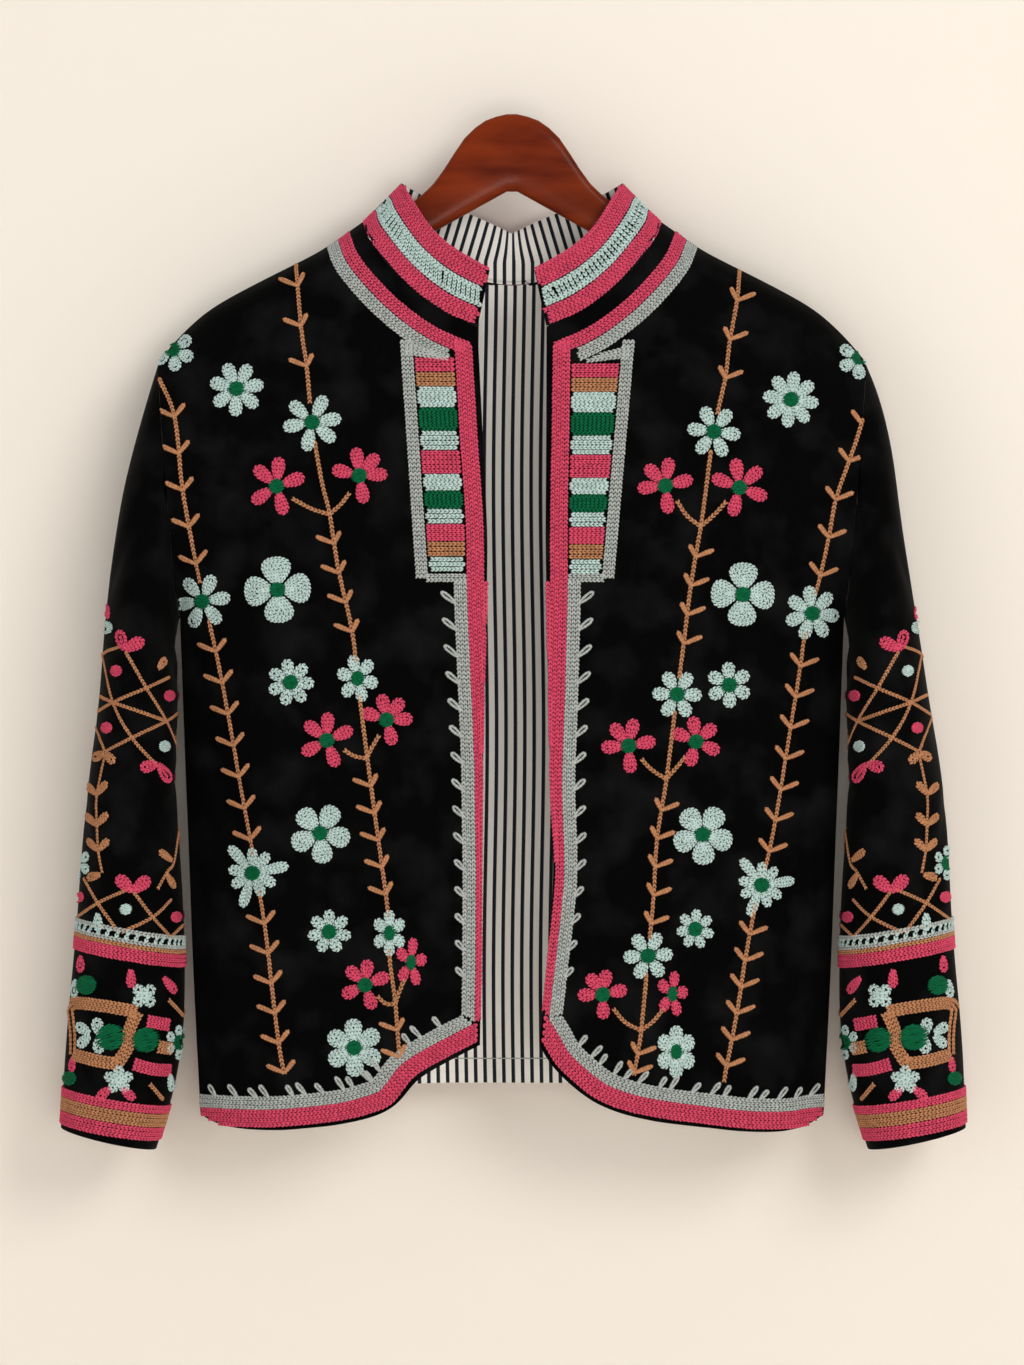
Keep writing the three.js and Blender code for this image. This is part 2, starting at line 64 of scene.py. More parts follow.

# %% [markdown]
# ## The room
#
# The jacket hangs a little in front of a pale wall, so its shadow on the wall is soft and close. A
# single big plane could stand behind it, but then a camera behind the jacket would see only plaster.
# The wall's finish is therefore clear from its back.

# %% Wall and floor
WALL_Y = 0.066
FLOOR_Z = -1.15
STAGE_SIZE = 7.0
PLASTER = (0.86, 0.811, 0.744, 1)


def plain_material(name, colour, roughness):
    """A material with one Principled shader; returns it with its node tree and that shader."""
    material = bpy.data.materials.new(name)
    material.use_nodes = True
    shader = material.node_tree.nodes["Principled BSDF"]
    shader.inputs["Base Color"].default_value = colour
    shader.inputs["Roughness"].default_value = roughness
    return material, material.node_tree, shader


def one_sided(tree, shader):
    """Lets rays from behind pass through the surface."""
    nodes, links = tree.nodes, tree.links
    side = nodes.new("ShaderNodeNewGeometry")
    clear = nodes.new("ShaderNodeBsdfTransparent")
    mix = nodes.new("ShaderNodeMixShader")
    links.new(side.outputs["Backfacing"], mix.inputs[0])
    links.new(shader.outputs[0], mix.inputs[1])
    links.new(clear.outputs[0], mix.inputs[2])
    links.new(mix.outputs[0], nodes["Material Output"].inputs["Surface"])


def link_mesh(name, mesh):
    """A new object in the scene with this mesh."""
    piece = bpy.data.objects.new(name, mesh)
    bpy.context.scene.collection.objects.link(piece)
    return piece


def stage_plane(name, corners, material):
    """One plane of the stage, from its four corners."""
    mesh = bpy.data.meshes.new(name)
    mesh.from_pydata(corners, [], [(0, 1, 2, 3)])
    mesh.materials.append(material)
    plane = link_mesh(name, mesh)


plaster, plaster_tree, plaster_shader = plain_material("plaster", PLASTER, 0.95)
one_sided(plaster_tree, plaster_shader)
boards = plain_material("pale_floor", PLASTER, 0.8)[0]
half = STAGE_SIZE / 2
WALL = [(-half, WALL_Y, FLOOR_Z), (half, WALL_Y, FLOOR_Z), (half, WALL_Y, half), (-half, WALL_Y, half)]
FLOOR = [(-half, -half, FLOOR_Z), (half, -half, FLOOR_Z), (half, half, FLOOR_Z), (-half, half, FLOOR_Z)]
stage_plane("wall", WALL, plaster)
stage_plane("floor", FLOOR, boards)
print("wall at y", WALL_Y, "floor at z", FLOOR_Z)

# %% [markdown]
# ## Camera and light
#
# The camera looks straight at the jacket, level with the middle of the body, from far enough away
# that nothing looks stretched. A large soft lamp stands high on the right and throws the hanger's
# shadow to the left; a weak wide one and the pale surroundings fill the dark cloth.

# %% Camera and lamps
MM_PER_PIXEL = 0.75
PICTURE = (1024, 1365)
HANGER_TOP_PIXEL = 113
CAMERA_DISTANCE = 3.6
FRONT_PLANE_Y = -0.045
SENSOR = 36.0
JACKET_LEVEL = 5.3  # the jacket's drops are measured from this far below the hanger's top, in mm

view_height = PICTURE[1] * MM_PER_PIXEL * MM
camera_data = bpy.data.cameras.new("camera")
camera_data.sensor_fit = "VERTICAL"
camera_data.sensor_height = SENSOR
camera_data.lens = SENSOR * CAMERA_DISTANCE / view_height
camera = bpy.data.objects.new("camera", camera_data)
camera_drop = (PICTURE[1] / 2 - HANGER_TOP_PIXEL) * MM_PER_PIXEL * MM
camera.location = (0, FRONT_PLANE_Y - CAMERA_DISTANCE, -camera_drop - JACKET_LEVEL * MM)
camera.rotation_euler = (math.pi / 2, 0, 0)
bpy.context.scene.collection.objects.link(camera)
bpy.context.scene.camera = camera
bpy.context.scene.view_settings.view_transform = "Standard"

LAMPS = rows(
    ("name", "at", "size", "power", "colour"),
    ("key", (2.1, -3.3, 1.25), 1.7, 63, (1.0, 0.97, 0.93)),
    ("front", (0.3, -3.3, -1.0), 1.2, 34, (1.0, 0.98, 0.95)),
    ("fill", (-2.2, -2.8, -0.4), 2.4, 15, (0.97, 0.98, 1.0)),
)
AIM = Vector((0, 0, -0.42))
WORLD_COLOUR, WORLD_STRENGTH = (0.95, 0.92, 0.88, 1), 0.54
for lamp in LAMPS:
    light = bpy.data.lights.new(lamp["name"], "AREA")
    light.size = lamp["size"]
    light.energy = lamp["power"]
    light.color = lamp["colour"]
    holder = bpy.data.objects.new(lamp["name"], light)
    holder.location = lamp["at"]
    holder.rotation_euler = (AIM - holder.location).to_track_quat("-Z", "Y").to_euler()
    bpy.context.scene.collection.objects.link(holder)

world = bpy.data.worlds.new("surroundings")
world.use_nodes = True
world.node_tree.nodes["Background"].inputs["Color"].default_value = WORLD_COLOUR
world.node_tree.nodes["Background"].inputs["Strength"].default_value = WORLD_STRENGTH
bpy.context.scene.world = world
print("lens", round(camera_data.lens, 1), "mm, camera drop", round(camera_drop, 4), "m")

# %% [markdown]
# ## Cloth shells
#
# A velvet panel is a wall about 2 mm thick. The solid model has it as a coarse faceted wall; here the
# same wall is made of four-sided faces again and smoothed with Catmull-Clark subdivision, which keeps
# the cut edges crisp where they are marked as creases. A cloth simulation could drape it too, but the
# jacket hangs still and its shape is already known, so subdividing keeps it true and quick.

# %% Shells from the walls
WELD = 0.02 * MM
SHARP = math.radians(50)
SHELL_LEVELS = 2


def wall_of(node):
    """The node's wall as a bmesh: corners shared, cut edges marked, triangles joined to quads."""
    bm = bmesh.new()
    bm.from_mesh(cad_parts[node].data)
    bmesh.ops.remove_doubles(bm, verts=bm.verts, dist=WELD)
    bmesh.ops.recalc_face_normals(bm, faces=bm.faces)
    crease = bm.edges.layers.float.new("crease_edge")
    for edge in bm.edges:
        if edge.is_manifold and edge.calc_face_angle() > SHARP:
            edge[crease] = 1.0
            edge.smooth = False
    any_angle = {"angle_face_threshold": math.pi, "angle_shape_threshold": math.pi}
    bmesh.ops.join_triangles(bm, faces=bm.faces, cmp_sharp=True, **any_angle)
    return bm


def subdivided(name, bm, levels):
    """A new object with the bmesh's Catmull-Clark subdivision as its mesh."""
    coarse = bpy.data.meshes.new(name + "_coarse")
    bm.to_mesh(coarse)
    bm.free()
    carrier = link_mesh(name + "_carrier", coarse)
    modifier = carrier.modifiers.new("smooth", "SUBSURF")
    modifier.levels = modifier.render_levels = levels
    graph = bpy.context.evaluated_depsgraph_get()
    mesh = bpy.data.meshes.new_from_object(carrier.evaluated_get(graph))
    mesh.name = name
    bpy.data.objects.remove(carrier)
    return link_mesh(name, mesh)


def points_of(piece):
    """A piece's points as an array of rows (x, y, z), in metres."""
    flat = np.empty(len(piece.data.vertices) * 3)
    piece.data.vertices.foreach_get("co", flat)
    return flat.reshape(-1, 3)


def set_points(piece, points):
    """Moves a piece's points to new places."""
    piece.data.vertices.foreach_set("co", points.ravel())
    piece.data.update()


# %% [markdown]
# ## Creases
#
# Hanging velvet is never flat: soft troughs run down from the shoulder and the underarm, and the
# sleeves bend in shallow creases at the elbow. They are placed one by one, each with its own length,
# width and depth, and both faces of the wall move together so the cloth keeps its thickness.

# %% Crease tables
# Each crease runs from one place (x, drop) to another, in mm; lift is out of the cloth.
CREASE = ("start", "end", "width", "lift")
BODY_CREASES = {
    "front": rows(
        CREASE,
        ((-246, 395), (-205, 560), 9, -3.0),
        ((-240, 360), (-170, 470), 11, -2.6),
        ((-238, 330), (-196, 352), 8, 2.0),
        ((-190, 600), (-176, 745), 12, 2.4),
        ((-142, 560), (-150, 752), 10, -2.2),
        ((-95, 600), (-104, 735), 11, 2.6),
        ((-124, 190), (-138, 330), 12, -1.8),
        ((-60, 470), (-70, 690), 9, -2.0),
        ((246, 395), (212, 575), 10, -3.2),
        ((242, 365), (176, 452), 11, -2.4),
        ((236, 325), (200, 350), 8, 2.0),
        ((196, 570), (204, 752), 12, 2.6),
        ((158, 600), (150, 755), 10, -2.4),
        ((102, 560), (110, 742), 11, 2.4),
        ((132, 185), (148, 322), 12, -1.8),
        ((62, 500), (70, 705), 9, -2.2),
    ),
    "back": rows(
        CREASE,
        ((-246, 395), (-198, 540), 10, -3.0),
        ((-236, 350), (-160, 430), 12, -2.4),
        ((-150, 520), (-160, 735), 11, 2.6),
        ((-80, 480), (-72, 725), 12, -2.6),
        ((-14, 420), (-20, 722), 10, 2.2),
        ((-66, 150), (-96, 300), 13, -1.8),
        ((58, 150), (84, 280), 12, -1.8),
        ((54, 540), (46, 725), 11, -2.4),
        ((126, 500), (138, 732), 12, 2.6),
        ((246, 395), (204, 560), 10, -3.2),
        ((238, 345), (168, 420), 12, -2.2),
    ),
}
# The lining is cut a little wide, so small pleats stand into the hollow.
LINING_CREASES = rows(
    CREASE,
    ((-11, 300), (-8, 372), 2.2, -2.2),
    ((-3, 322), (-6, 395), 2.0, -1.8),
    ((14, 590), (12, 668), 2.4, -2.4),
    ((-14, 640), (-12, 728), 3.0, -2.6),
    ((6, 480), (9, 560), 3.5, -2.0),
    ((-120, 420), (-128, 700), 8.0, -3.0),
    ((104, 380), (96, 690), 9.0, -3.0),
)
# On a sleeve, x is the angle round the tube in degrees: 0 outwards, 90 to the front.
SLEEVE_CREASES = rows(
    CREASE,
    ((150, 250), (60, 330), 10, -3.4),
    ((175, 420), (70, 400), 9, -3.0),
    ((160, 455), (30, 470), 8, -2.4),
    ((185, 500), (95, 530), 9, -2.8),
    ((20, 520), (80, 600), 11, -2.2),
    ((120, 590), (110, 690), 10, 1.8),
    ((200, 400), (300, 380), 9, -3.0),
    ((190, 470), (290, 500), 10, -2.6),
    ((350, 540), (260, 600), 11, -2.4),
    ((240, 250), (310, 340), 10, -3.0),
)
SEAM_FADE = 12.0  # mm of depth over which a crease fades out at a side seam
NECK_CALM = (130, 170)  # drops between which the creases fade out towards the neck seam
CREASE_RUNOUT = 0.3  # a crease dies away past its ends over this share of its length
CREASE_SWAY = 0.12  # how far it bends to and fro, as a share of its width
SLEEVE_CALM, SLEEVE_RISE = 210, 60  # the drop where sleeve creases begin, and the mm they take to grow


def drops(points):
    """How far below the jacket's level points are, in mm."""
    return -points[:, 2] / MM - JACKET_LEVEL


def crease_lift(across, down, creases):
    """Sum of soft troughs and ridges at places (across, down), both in mm."""
    total = np.zeros(len(across))
    for crease in creases:
        (x0, y0), (x1, y1) = crease["start"], crease["end"]
        length = math.hypot(x1 - x0, y1 - y0)
        along_x, along_y = (x1 - x0) / length, (y1 - y0) / length
        along = (across - x0) * along_x + (down - y0) * along_y
        aside = (across - x0) * along_y - (down - y0) * along_x
        past = np.maximum(0, np.maximum(-along, along - length)) / (length * CREASE_RUNOUT)
        bend = CREASE_SWAY * crease["width"] * np.sin(along / length * 5 + x0)
        ridge = np.exp(-(((aside + bend) / crease["width"]) ** 2) - past**2)
        total += crease["lift"] * ridge
    return total


def crease_body(piece, face, creases):
    """Moves a body piece's points along y by the creases of its face."""
    points = points_of(piece)
    towards = -1 if face == "front" else 1
    lift = crease_lift(points[:, 0] / MM, drops(points), creases)
    fade = np.clip(np.abs(points[:, 1]) / MM / SEAM_FADE, 0, 1)
    fade *= np.interp(drops(points), NECK_CALM, (0, 1))
    points[:, 1] += towards * lift * fade * MM
    set_points(piece, points)


def middle_of(across, heights, count):
    """For each point of a sleeve, where its middle line is across at that height."""
    levels = np.linspace(heights.min(), heights.max(), count)
    nearest = np.abs(heights[:, None] - levels[None]).argmin(1)
    middle = np.array([across[nearest == k].mean() for k in range(count)])
    return np.interp(heights, levels, middle)


def crease_sleeve(piece, side):
    """Moves a sleeve's points towards or away from its middle line."""
    points = points_of(piece)
    down = drops(points)
    sign = -1 if side == "left" else 1
    centre = middle_of(points[:, 0], down, 24)
    outwards = sign * (points[:, 0] - centre)
    turn = np.degrees(np.arctan2(-points[:, 1], outwards)) % 360
    reach = np.hypot(points[:, 0] - centre, points[:, 1])
    lift = crease_lift(turn, down, SLEEVE_CREASES) * np.clip((down - SLEEVE_CALM) / SLEEVE_RISE, 0, 1)
    points[:, 0] += (points[:, 0] - centre) / reach * lift * MM
    points[:, 1] += points[:, 1] / reach * lift * MM
    set_points(piece, points)


# %% Make the shells
SHELL_NAMES = {
    "front_left": "left_front_velvet",
    "front_right": "right_front_velvet",
    "back": "back_velvet",
    "sleeve_left": "left_sleeve_velvet",
    "sleeve_right": "right_sleeve_velvet",
    "collar": "collar_velvet",
    "back_lining": "back_lining_cotton",
    "collar_lining": "collar_lining_cotton",
}
shells = {}
for node, name in SHELL_NAMES.items():
    shells[node] = subdivided(name, wall_of(node), SHELL_LEVELS)
    if node.startswith("back"):
        more = LINING_CREASES if node == "back_lining" else []
        crease_body(shells[node], "back", BODY_CREASES["back"] + more)
    elif node.startswith("front"):
        crease_body(shells[node], "front", BODY_CREASES["front"])
    elif node.startswith("sleeve"):
        crease_sleeve(shells[node], node.split("_")[1])
    shells[node].data.shade_smooth()
    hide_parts(node)
    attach(shells[node], "root")
    print(name, len(shells[node].data.polygons), "faces")

# %% Slots for the shells
velvet, velvet_tree, velvet_shader = plain_material("velvet", (0.004, 0.004, 0.0045, 1), 0.85)
lining, lining_tree, lining_shader = plain_material("lining", (0.62, 0.59, 0.54, 1), 0.85)
for node, shell in shells.items():
    finish = "lining" if "lining" in node else "velvet"
    shell.data.materials.clear()
    shell.data.materials.append(lining if finish == "lining" else velvet)

# %% [markdown]
# ## The hanger
#
# A shaped wooden hanger is sawn from a board, rounded over with a router and varnished. Its section is
# almost a rectangle with soft corners, so it is lofted here: at each place along the arms an oval ring
# with a high power stands between the board's top edge and its bottom edge.

# %% Hanger loft
HANGER_STATIONS = 90
HANGER_RING = 28
BOARD_POWER = 3.4  # 2 would be an ellipse, and a large power a rectangle
TIP_ROUND = 11 * MM
TIP_INSET = 0.4 * MM  # the last ring stands this far inside the board's end


def board_edges(tree, across):
    """Heights of the top and the bottom edge of the board at one place across."""
    top = tree.ray_cast(Vector((across, 0, 1)), Vector((0, 0, -1)))[0]
    bottom = tree.ray_cast(Vector((across, 0, -1)), Vector((0, 0, 1)))[0]
    return top.z, bottom.z


def hanger_mesh():
    """The board lofted through its rings, with round tips and closed ends."""
    low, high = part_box("hanger")
    tree = BVHTree.FromObject(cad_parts["hanger"], bpy.context.evaluated_depsgraph_get())
    reach, half_depth = high.x, high.y
    spread = np.sin(np.linspace(-math.pi / 2, math.pi / 2, HANGER_STATIONS))
    across = spread * (reach - TIP_INSET)
    heights = np.array([board_edges(tree, x) for x in across])
    turns = np.arange(HANGER_RING) / HANGER_RING * 2 * math.pi
    power = 2 / BOARD_POWER
    up = np.sign(np.sin(turns)) * np.abs(np.sin(turns)) ** power
    deep = np.sign(np.cos(turns)) * np.abs(np.cos(turns)) ** power
    rings = []
    for x, (top, bottom) in zip(across, heights):
        middle, half_height = (top + bottom) / 2, (top - bottom) / 2
        near_tip = max(0.0, 1 - (reach - abs(x)) / TIP_ROUND)
        depth = half_depth * math.sqrt(max(0.02, 1 - near_tip**2))
        rings.append(np.column_stack([np.full(HANGER_RING, x), deep * depth, middle + up * half_height]))
    points = np.vstack(rings)
    faces = []
    for s in range(HANGER_STATIONS - 1):
        for k in range(HANGER_RING):
            a, b = s * HANGER_RING + k, s * HANGER_RING + (k + 1) % HANGER_RING
            faces.append((a, b, b + HANGER_RING, a + HANGER_RING))
    faces.append(tuple(range(HANGER_RING))[::-1])
    faces.append(tuple(range(len(points) - HANGER_RING, len(points))))
    mesh = bpy.data.meshes.new("wooden_hanger")
    mesh.from_pydata(points.tolist(), [], faces)
    return mesh


hanger = link_mesh("wooden_hanger", hanger_mesh())
hanger.data.shade_smooth()
wood, wood_tree, wood_shader = plain_material("wood", (0.16, 0.03, 0.01, 1), 0.3)
hanger.data.materials.append(wood)
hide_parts("hanger")
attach(hanger, "root")
print("hanger faces", len(hanger.data.polygons))

# %% [markdown]
# ## Yarn rows
#
# All the embroidery is chain stitch in thick yarn. A tube along each line would look like cord; a bump
# map would vanish at the edges. So every stitch is a pair of small closed spindles that lie on the
# cloth and open like a V, which is what the two sides of a chain loop do. One mesh holds all the
# stitches of one colour on one piece of cloth, filled in by numpy because there are thousands.

# %% Stitches
ROW_STEP = 3.2  # mm from stitch to stitch
ROW_WIDTH = 3.3
LOBE_OPEN = math.radians(20)  # how far the two sides of a stitch spread
LOBE_SWAY = 0.06  # how unevenly they spread, in radians
LOBE_RING = 4
# Sizes of one spindle as shares of the stitch's width or length: one side of a chain stitch, or a cord
LOBE_HALF = {"side": 0.29, "cord": 0.5}
LOBE_LONG = {"side": 0.66, "cord": 0.8}
LOBE_UP = {"side": 0.18, "cord": 0.3}
LOBE_ASIDE = 0.235
LOBE_FAT, LOBE_SHOULDER = 0.94, 0.48  # how thick a spindle is at its two rings, and where they stand
LOBE_SHADE = 0.16  # painted shade: the underside of a stitch, next to the cloth, is darker than its crown by up to this much
TONES = (0.94, 1.22)  # the range of the stitches' own tones
STITCH_SEED = 11
sewn = {}  # (area, colour) -> list of stitch tables


def unit(vectors):
    """The rows of an array, each made one long."""
    return vectors / np.maximum(np.linalg.norm(vectors, axis=1), 1e-12)[:, None]


def run_along(line):
    """How far along the line each of its points is."""
    return np.concatenate([[0], np.cumsum(np.linalg.norm(np.diff(line, axis=0), axis=1))])


def pick(at, run, values):
    """The values, a row for each point, at other distances along the line."""
    return np.column_stack([np.interp(at, run, values[:, k]) for k in range(values.shape[1])])


def evenly(points, normals, step):
    """Points and normals of a line in metres, at even steps in mm."""
    run = run_along(points)
    count = max(2, round(run[-1] / (step * MM)) + 1)
    at = np.linspace(0, run[-1], count)
    return pick(at, run, points), unit(pick(at, run, normals))


def sew(area, colour, points, normals, width=ROW_WIDTH, strands=2, step=ROW_STEP, lift=0.0):
    """Lays one row of stitches along a line on the cloth. One strand makes a plain cord."""
    if len(points) < 2:
        return
    at, up = evenly(np.asarray(points), np.asarray(normals), step)
    table = {
        "middle": (at[1:] + at[:-1]) / 2,
        "along": unit(at[1:] - at[:-1]),
        "up": unit(up[1:] + up[:-1]),
        "length": np.linalg.norm(at[1:] - at[:-1], axis=1),
        "width": np.full(len(at) - 1, width * MM),
        "strands": strands,
        "lift": lift * MM,
    }
    sewn.setdefault((area, colour), []).append(table)


def spindle():
    """A closed spindle of unit size along x, as points and faces: two tips and two rings."""
    turns = np.arange(LOBE_RING) / LOBE_RING * 2 * math.pi + math.pi / 2
    ring = np.column_stack([np.zeros(LOBE_RING), np.cos(turns), np.sin(turns)]) * LOBE_FAT
    front, back = ring + (-LOBE_SHOULDER, 0, 0), ring + (LOBE_SHOULDER, 0, 0)
    points = np.vstack([[(-1, 0, 0)], front, back, [(1, 0, 0)]])
    faces = []
    for k in range(LOBE_RING):
        a, b = 1 + k, 1 + (k + 1) % LOBE_RING
        faces += [(0, b, a), (a, b, b + LOBE_RING), (a, b + LOBE_RING, a + LOBE_RING)]
        faces += [(a + LOBE_RING, b + LOBE_RING, 2 * LOBE_RING + 1)]
    return points, np.array(faces)


SPINDLE, SPINDLE_FACES = spindle()


def lobes(table, rng):
    """Points of the spindles of one row of stitches."""
    side = np.cross(table["up"], table["along"])
    made = []
    signs, kind = ((-1, 1), "side") if table["strands"] == 2 else ((0,), "cord")
    wide = LOBE_HALF[kind]
    for sign in signs:
        spread = LOBE_OPEN * sign + rng.normal(0, LOBE_SWAY, len(side))
        axis = table["along"] * np.cos(spread)[:, None] + side * np.sin(spread)[:, None]
        across = np.cross(table["up"], axis)
        width = table["width"] * rng.normal(1, 0.05, len(side))
        lift = width * LOBE_UP[kind] + table["lift"]
        aside = sign * LOBE_ASIDE * width
        centre = table["middle"] + side * aside[:, None] + table["up"] * lift[:, None]
        sizes = [table["length"] * LOBE_LONG[kind], width * wide, width * wide * 1.05]
        points = centre[:, None] + sum(
            SPINDLE[None, :, k, None] * (sizes[k][:, None] * frame_axis)[:, None]
            for k, frame_axis in enumerate((axis, across, table["up"]))
        )
        made.append(points)
    return np.concatenate(made)


def yarn_mesh(name, tables, rng):
    """One mesh of all the stitches in the tables, with each stitch's own tone and a painted shade on its
    underside as an attribute.
    """
    points = np.concatenate([lobes(table, rng) for table in tables])
    count = len(points)
    faces = (SPINDLE_FACES[None] + np.arange(count)[:, None, None] * len(SPINDLE)).reshape(-1, 3)
    mesh = bpy.data.meshes.new(name)
    mesh.vertices.add(count * len(SPINDLE))
    mesh.vertices.foreach_set("co", points.ravel())
    mesh.loops.add(faces.size)
    mesh.loops.foreach_set("vertex_index", faces.ravel())
    mesh.polygons.add(len(faces))
    mesh.polygons.foreach_set("loop_start", np.arange(len(faces)) * 3)
    tone_and_shade = mesh.attributes.new("tone_and_shade", "FLOAT", "POINT")
    # painted shade: each stitch's random tone, darkened towards the cloth on its underside
    shade = rng.uniform(*TONES, count)[:, None] * (0.84 + LOBE_SHADE * SPINDLE[None, :, 2])
    tone_and_shade.data.foreach_set("value", shade.ravel().astype(np.float32))
    mesh.update()
    mesh.validate()
    mesh.shade_smooth()
    return mesh


# %% [markdown]
# ## Laying lines on the cloth
#
# A motif is drawn flat, by its distance from the middle and its drop below the jacket's level, and then
# every point of it is dropped onto the cloth along a line of sight. Bands follow the cut edges of the
# cloth instead, which stand in tables of their own.

# %% Landing
def tree_of(*nodes):
    """A search tree over the outer faces of the shells of these nodes."""
    points, faces = [], []
    for node in nodes:
        start = len(points)
        mesh = shells[node].data
        points += [v.co.copy() for v in mesh.vertices]
        faces += [[start + i for i in polygon.vertices] for polygon in mesh.polygons]
    return BVHTree.FromPolygons(points, faces)


TREES = {
    "left_front": tree_of("front_left"),
    "right_front": tree_of("front_right"),
    "back": tree_of("back"),
    "left_sleeve": tree_of("sleeve_left"),
    "right_sleeve": tree_of("sleeve_right"),
    "collar": tree_of("collar"),
    "body": tree_of("front_left", "front_right", "back"),
    "lining": tree_of("back_lining"),
}
EYE = np.array(camera.location)


def land(area, places, face="front"):
    """Stretches of (points, normals) where flat places (x, drop) in mm fall on an area's cloth."""
    way = 1 if face == "front" else -1
    eye = Vector((EYE[0], way * EYE[1], EYE[2]))
    stretches, points, normals = [], [], []
    for x, drop in places:
        target = Vector((x * MM, way * FRONT_PLANE_Y, -drop * MM))
        hit, normal, _, _ = TREES[area].ray_cast(eye, (target - eye).normalized())
        if hit is None:
            if len(points) > 1:
                stretches.append((np.array(points), np.array(normals)))
            points, normals = [], []
            continue
        if normal.dot(eye - hit) < 0:
            normal = -normal
        points.append(hit)
        normals.append(normal)
    if len(points) > 1:
        stretches.append((np.array(points), np.array(normals)))
    return stretches


def curve(places, step=1.5):
    """A smooth line (a Catmull-Rom spline) through places, with points about a step apart."""
    places = np.asarray(places, float)
    line = np.vstack([2 * places[0] - places[1], places, 2 * places[-1] - places[-2]])
    made = []
    for a, b, c, d in zip(line, line[1:], line[2:], line[3:]):
        count = max(1, round(np.linalg.norm(c - b) / step))
        t = (np.arange(count) / count)[:, None]
        square, cube = 2 * a - 5 * b + 4 * c - d, 3 * b - a - 3 * c + d
        made.append(0.5 * (2 * b + (c - a) * t + square * t**2 + cube * t**3))
    made.append(places[-1:])
    return np.vstack(made)


def lowered(places):
    """Places measured from the jacket's level, as places under the hanger's top."""
    return np.asarray(places, float) + (0, JACKET_LEVEL)


def draw(area, colour, places, face="front", **style):
    """Sews one row along flat places."""
    for points, normals in land(area, places, face):
        sew(area, colour, points, normals, **style)


# %% Cut edges
# Each edge is a line of places (distance from the middle, drop below the jacket's level), in mm.
NECK_FRONT = [(26, 160), (51, 149), (74.5, 132), (93.5, 113), (106, 96), (113.5, 77.5)]
NECK_BACK = [(113.5, 77.5), (100, 91), (70, 107), (35, 118), (0, 124)]
COLLAR_TOP_FRONT = [
    (17, -46, 118), (34, -44, 108.5), (49, -40, 98), (62, -33, 84.5), (72.5, -23, 68), (80.5, -11, 54),
]
COLLAR_TOP_BACK = [(84, 0, 48), (79, 12, 50), (67, 24, 56), (50, 32, 62), (28, 36, 70), (0, 37, 83)]
OPENING = {
    "left": [
        (26, 160), (22, 240), (18, 324), (20.8, 436), (22, 508), (22.5, 560), (23, 637), (24, 699),
    ],
    "right": [
        (26, 160), (25.7, 240), (25.1, 324), (27.3, 436), (28.7, 508), (32, 560), (31, 591), (26.5, 637),
        (20.4, 699),
    ],
}
HEM = {
    "left": [
        (24, 699), (50, 712.5), (71, 725), (80, 736), (88, 745.5), (101, 752), (129, 759), (174, 763.5),
        (204, 763.5), (225, 760.5), (235.5, 755.5),
    ],
    "right": [
        (20.4, 699), (30, 715), (46.5, 731), (63, 743), (85, 751.5), (111, 757), (141, 761), (178.5, 765),
        (208.5, 765), (227, 761), (235.5, 755.5),
    ],
    "back": [(0, 734), (85, 735), (150, 741), (205, 749), (235.5, 755)],
}
SIDES = {"left": -1, "right": 1}


def placed(line, sign=1):
    """Edge places on one side as real places (x, drop) under the hanger's top."""
    return np.array([(sign * x, drop + JACKET_LEVEL) for x, drop in line], float)


def distance_to(line, places):
    """Distance of flat places from a flat line, in mm."""
    a, b = line[:-1], line[1:]
    along = b - a
    to_place = places[:, None] - a[None]
    share = np.clip((to_place * along).sum(2) / (along**2).sum(1), 0, 1)
    return np.linalg.norm(to_place - share[..., None] * along, axis=2).min(1)


def beside(line, offset, inwards):
    """A flat line moved sideways by an offset in mm, or by one offset for each of its points."""
    tangent = unit(np.gradient(line, axis=0))
    normal = np.column_stack([-tangent[:, 1], tangent[:, 0]])
    middle = len(line) // 2
    if np.dot(normal[middle], np.asarray(inwards) - line[middle]) < 0:
        normal = -normal
    return line + normal * np.reshape(offset, (-1, 1))


def kept(places, keep):
    """The longest run of places for which keep is true."""
    edges = np.flatnonzero(np.diff(np.concatenate([[0], keep.astype(int), [0]])))
    if not len(edges):
        return places[:0]
    starts, ends = edges[::2], edges[1::2]
    longest = (ends - starts).argmax()
    return places[starts[longest] : ends[longest]]


# %% [markdown]
# ## Bands of yarn
#
# Flat bands run along every cut edge: pink, pale aqua lace and pink again round the collar, then a bare
# strip of velvet, pink and grey-green round the neck, pink and grey-green down the fronts and along
# the hem. Each band is three or four rows of chain stitch laid side by side, so here a band is a list
# of rows at given distances from its edge, and rows that meet at a corner stop where they touch.

# %% Front edges and hems
PITCH = 3.3  # mm between the rows of a band
PIPING = 3.0  # bare velvet at the cut edge
EDGE_ROW = 1.2  # where a row runs that is crowded against the cut edge
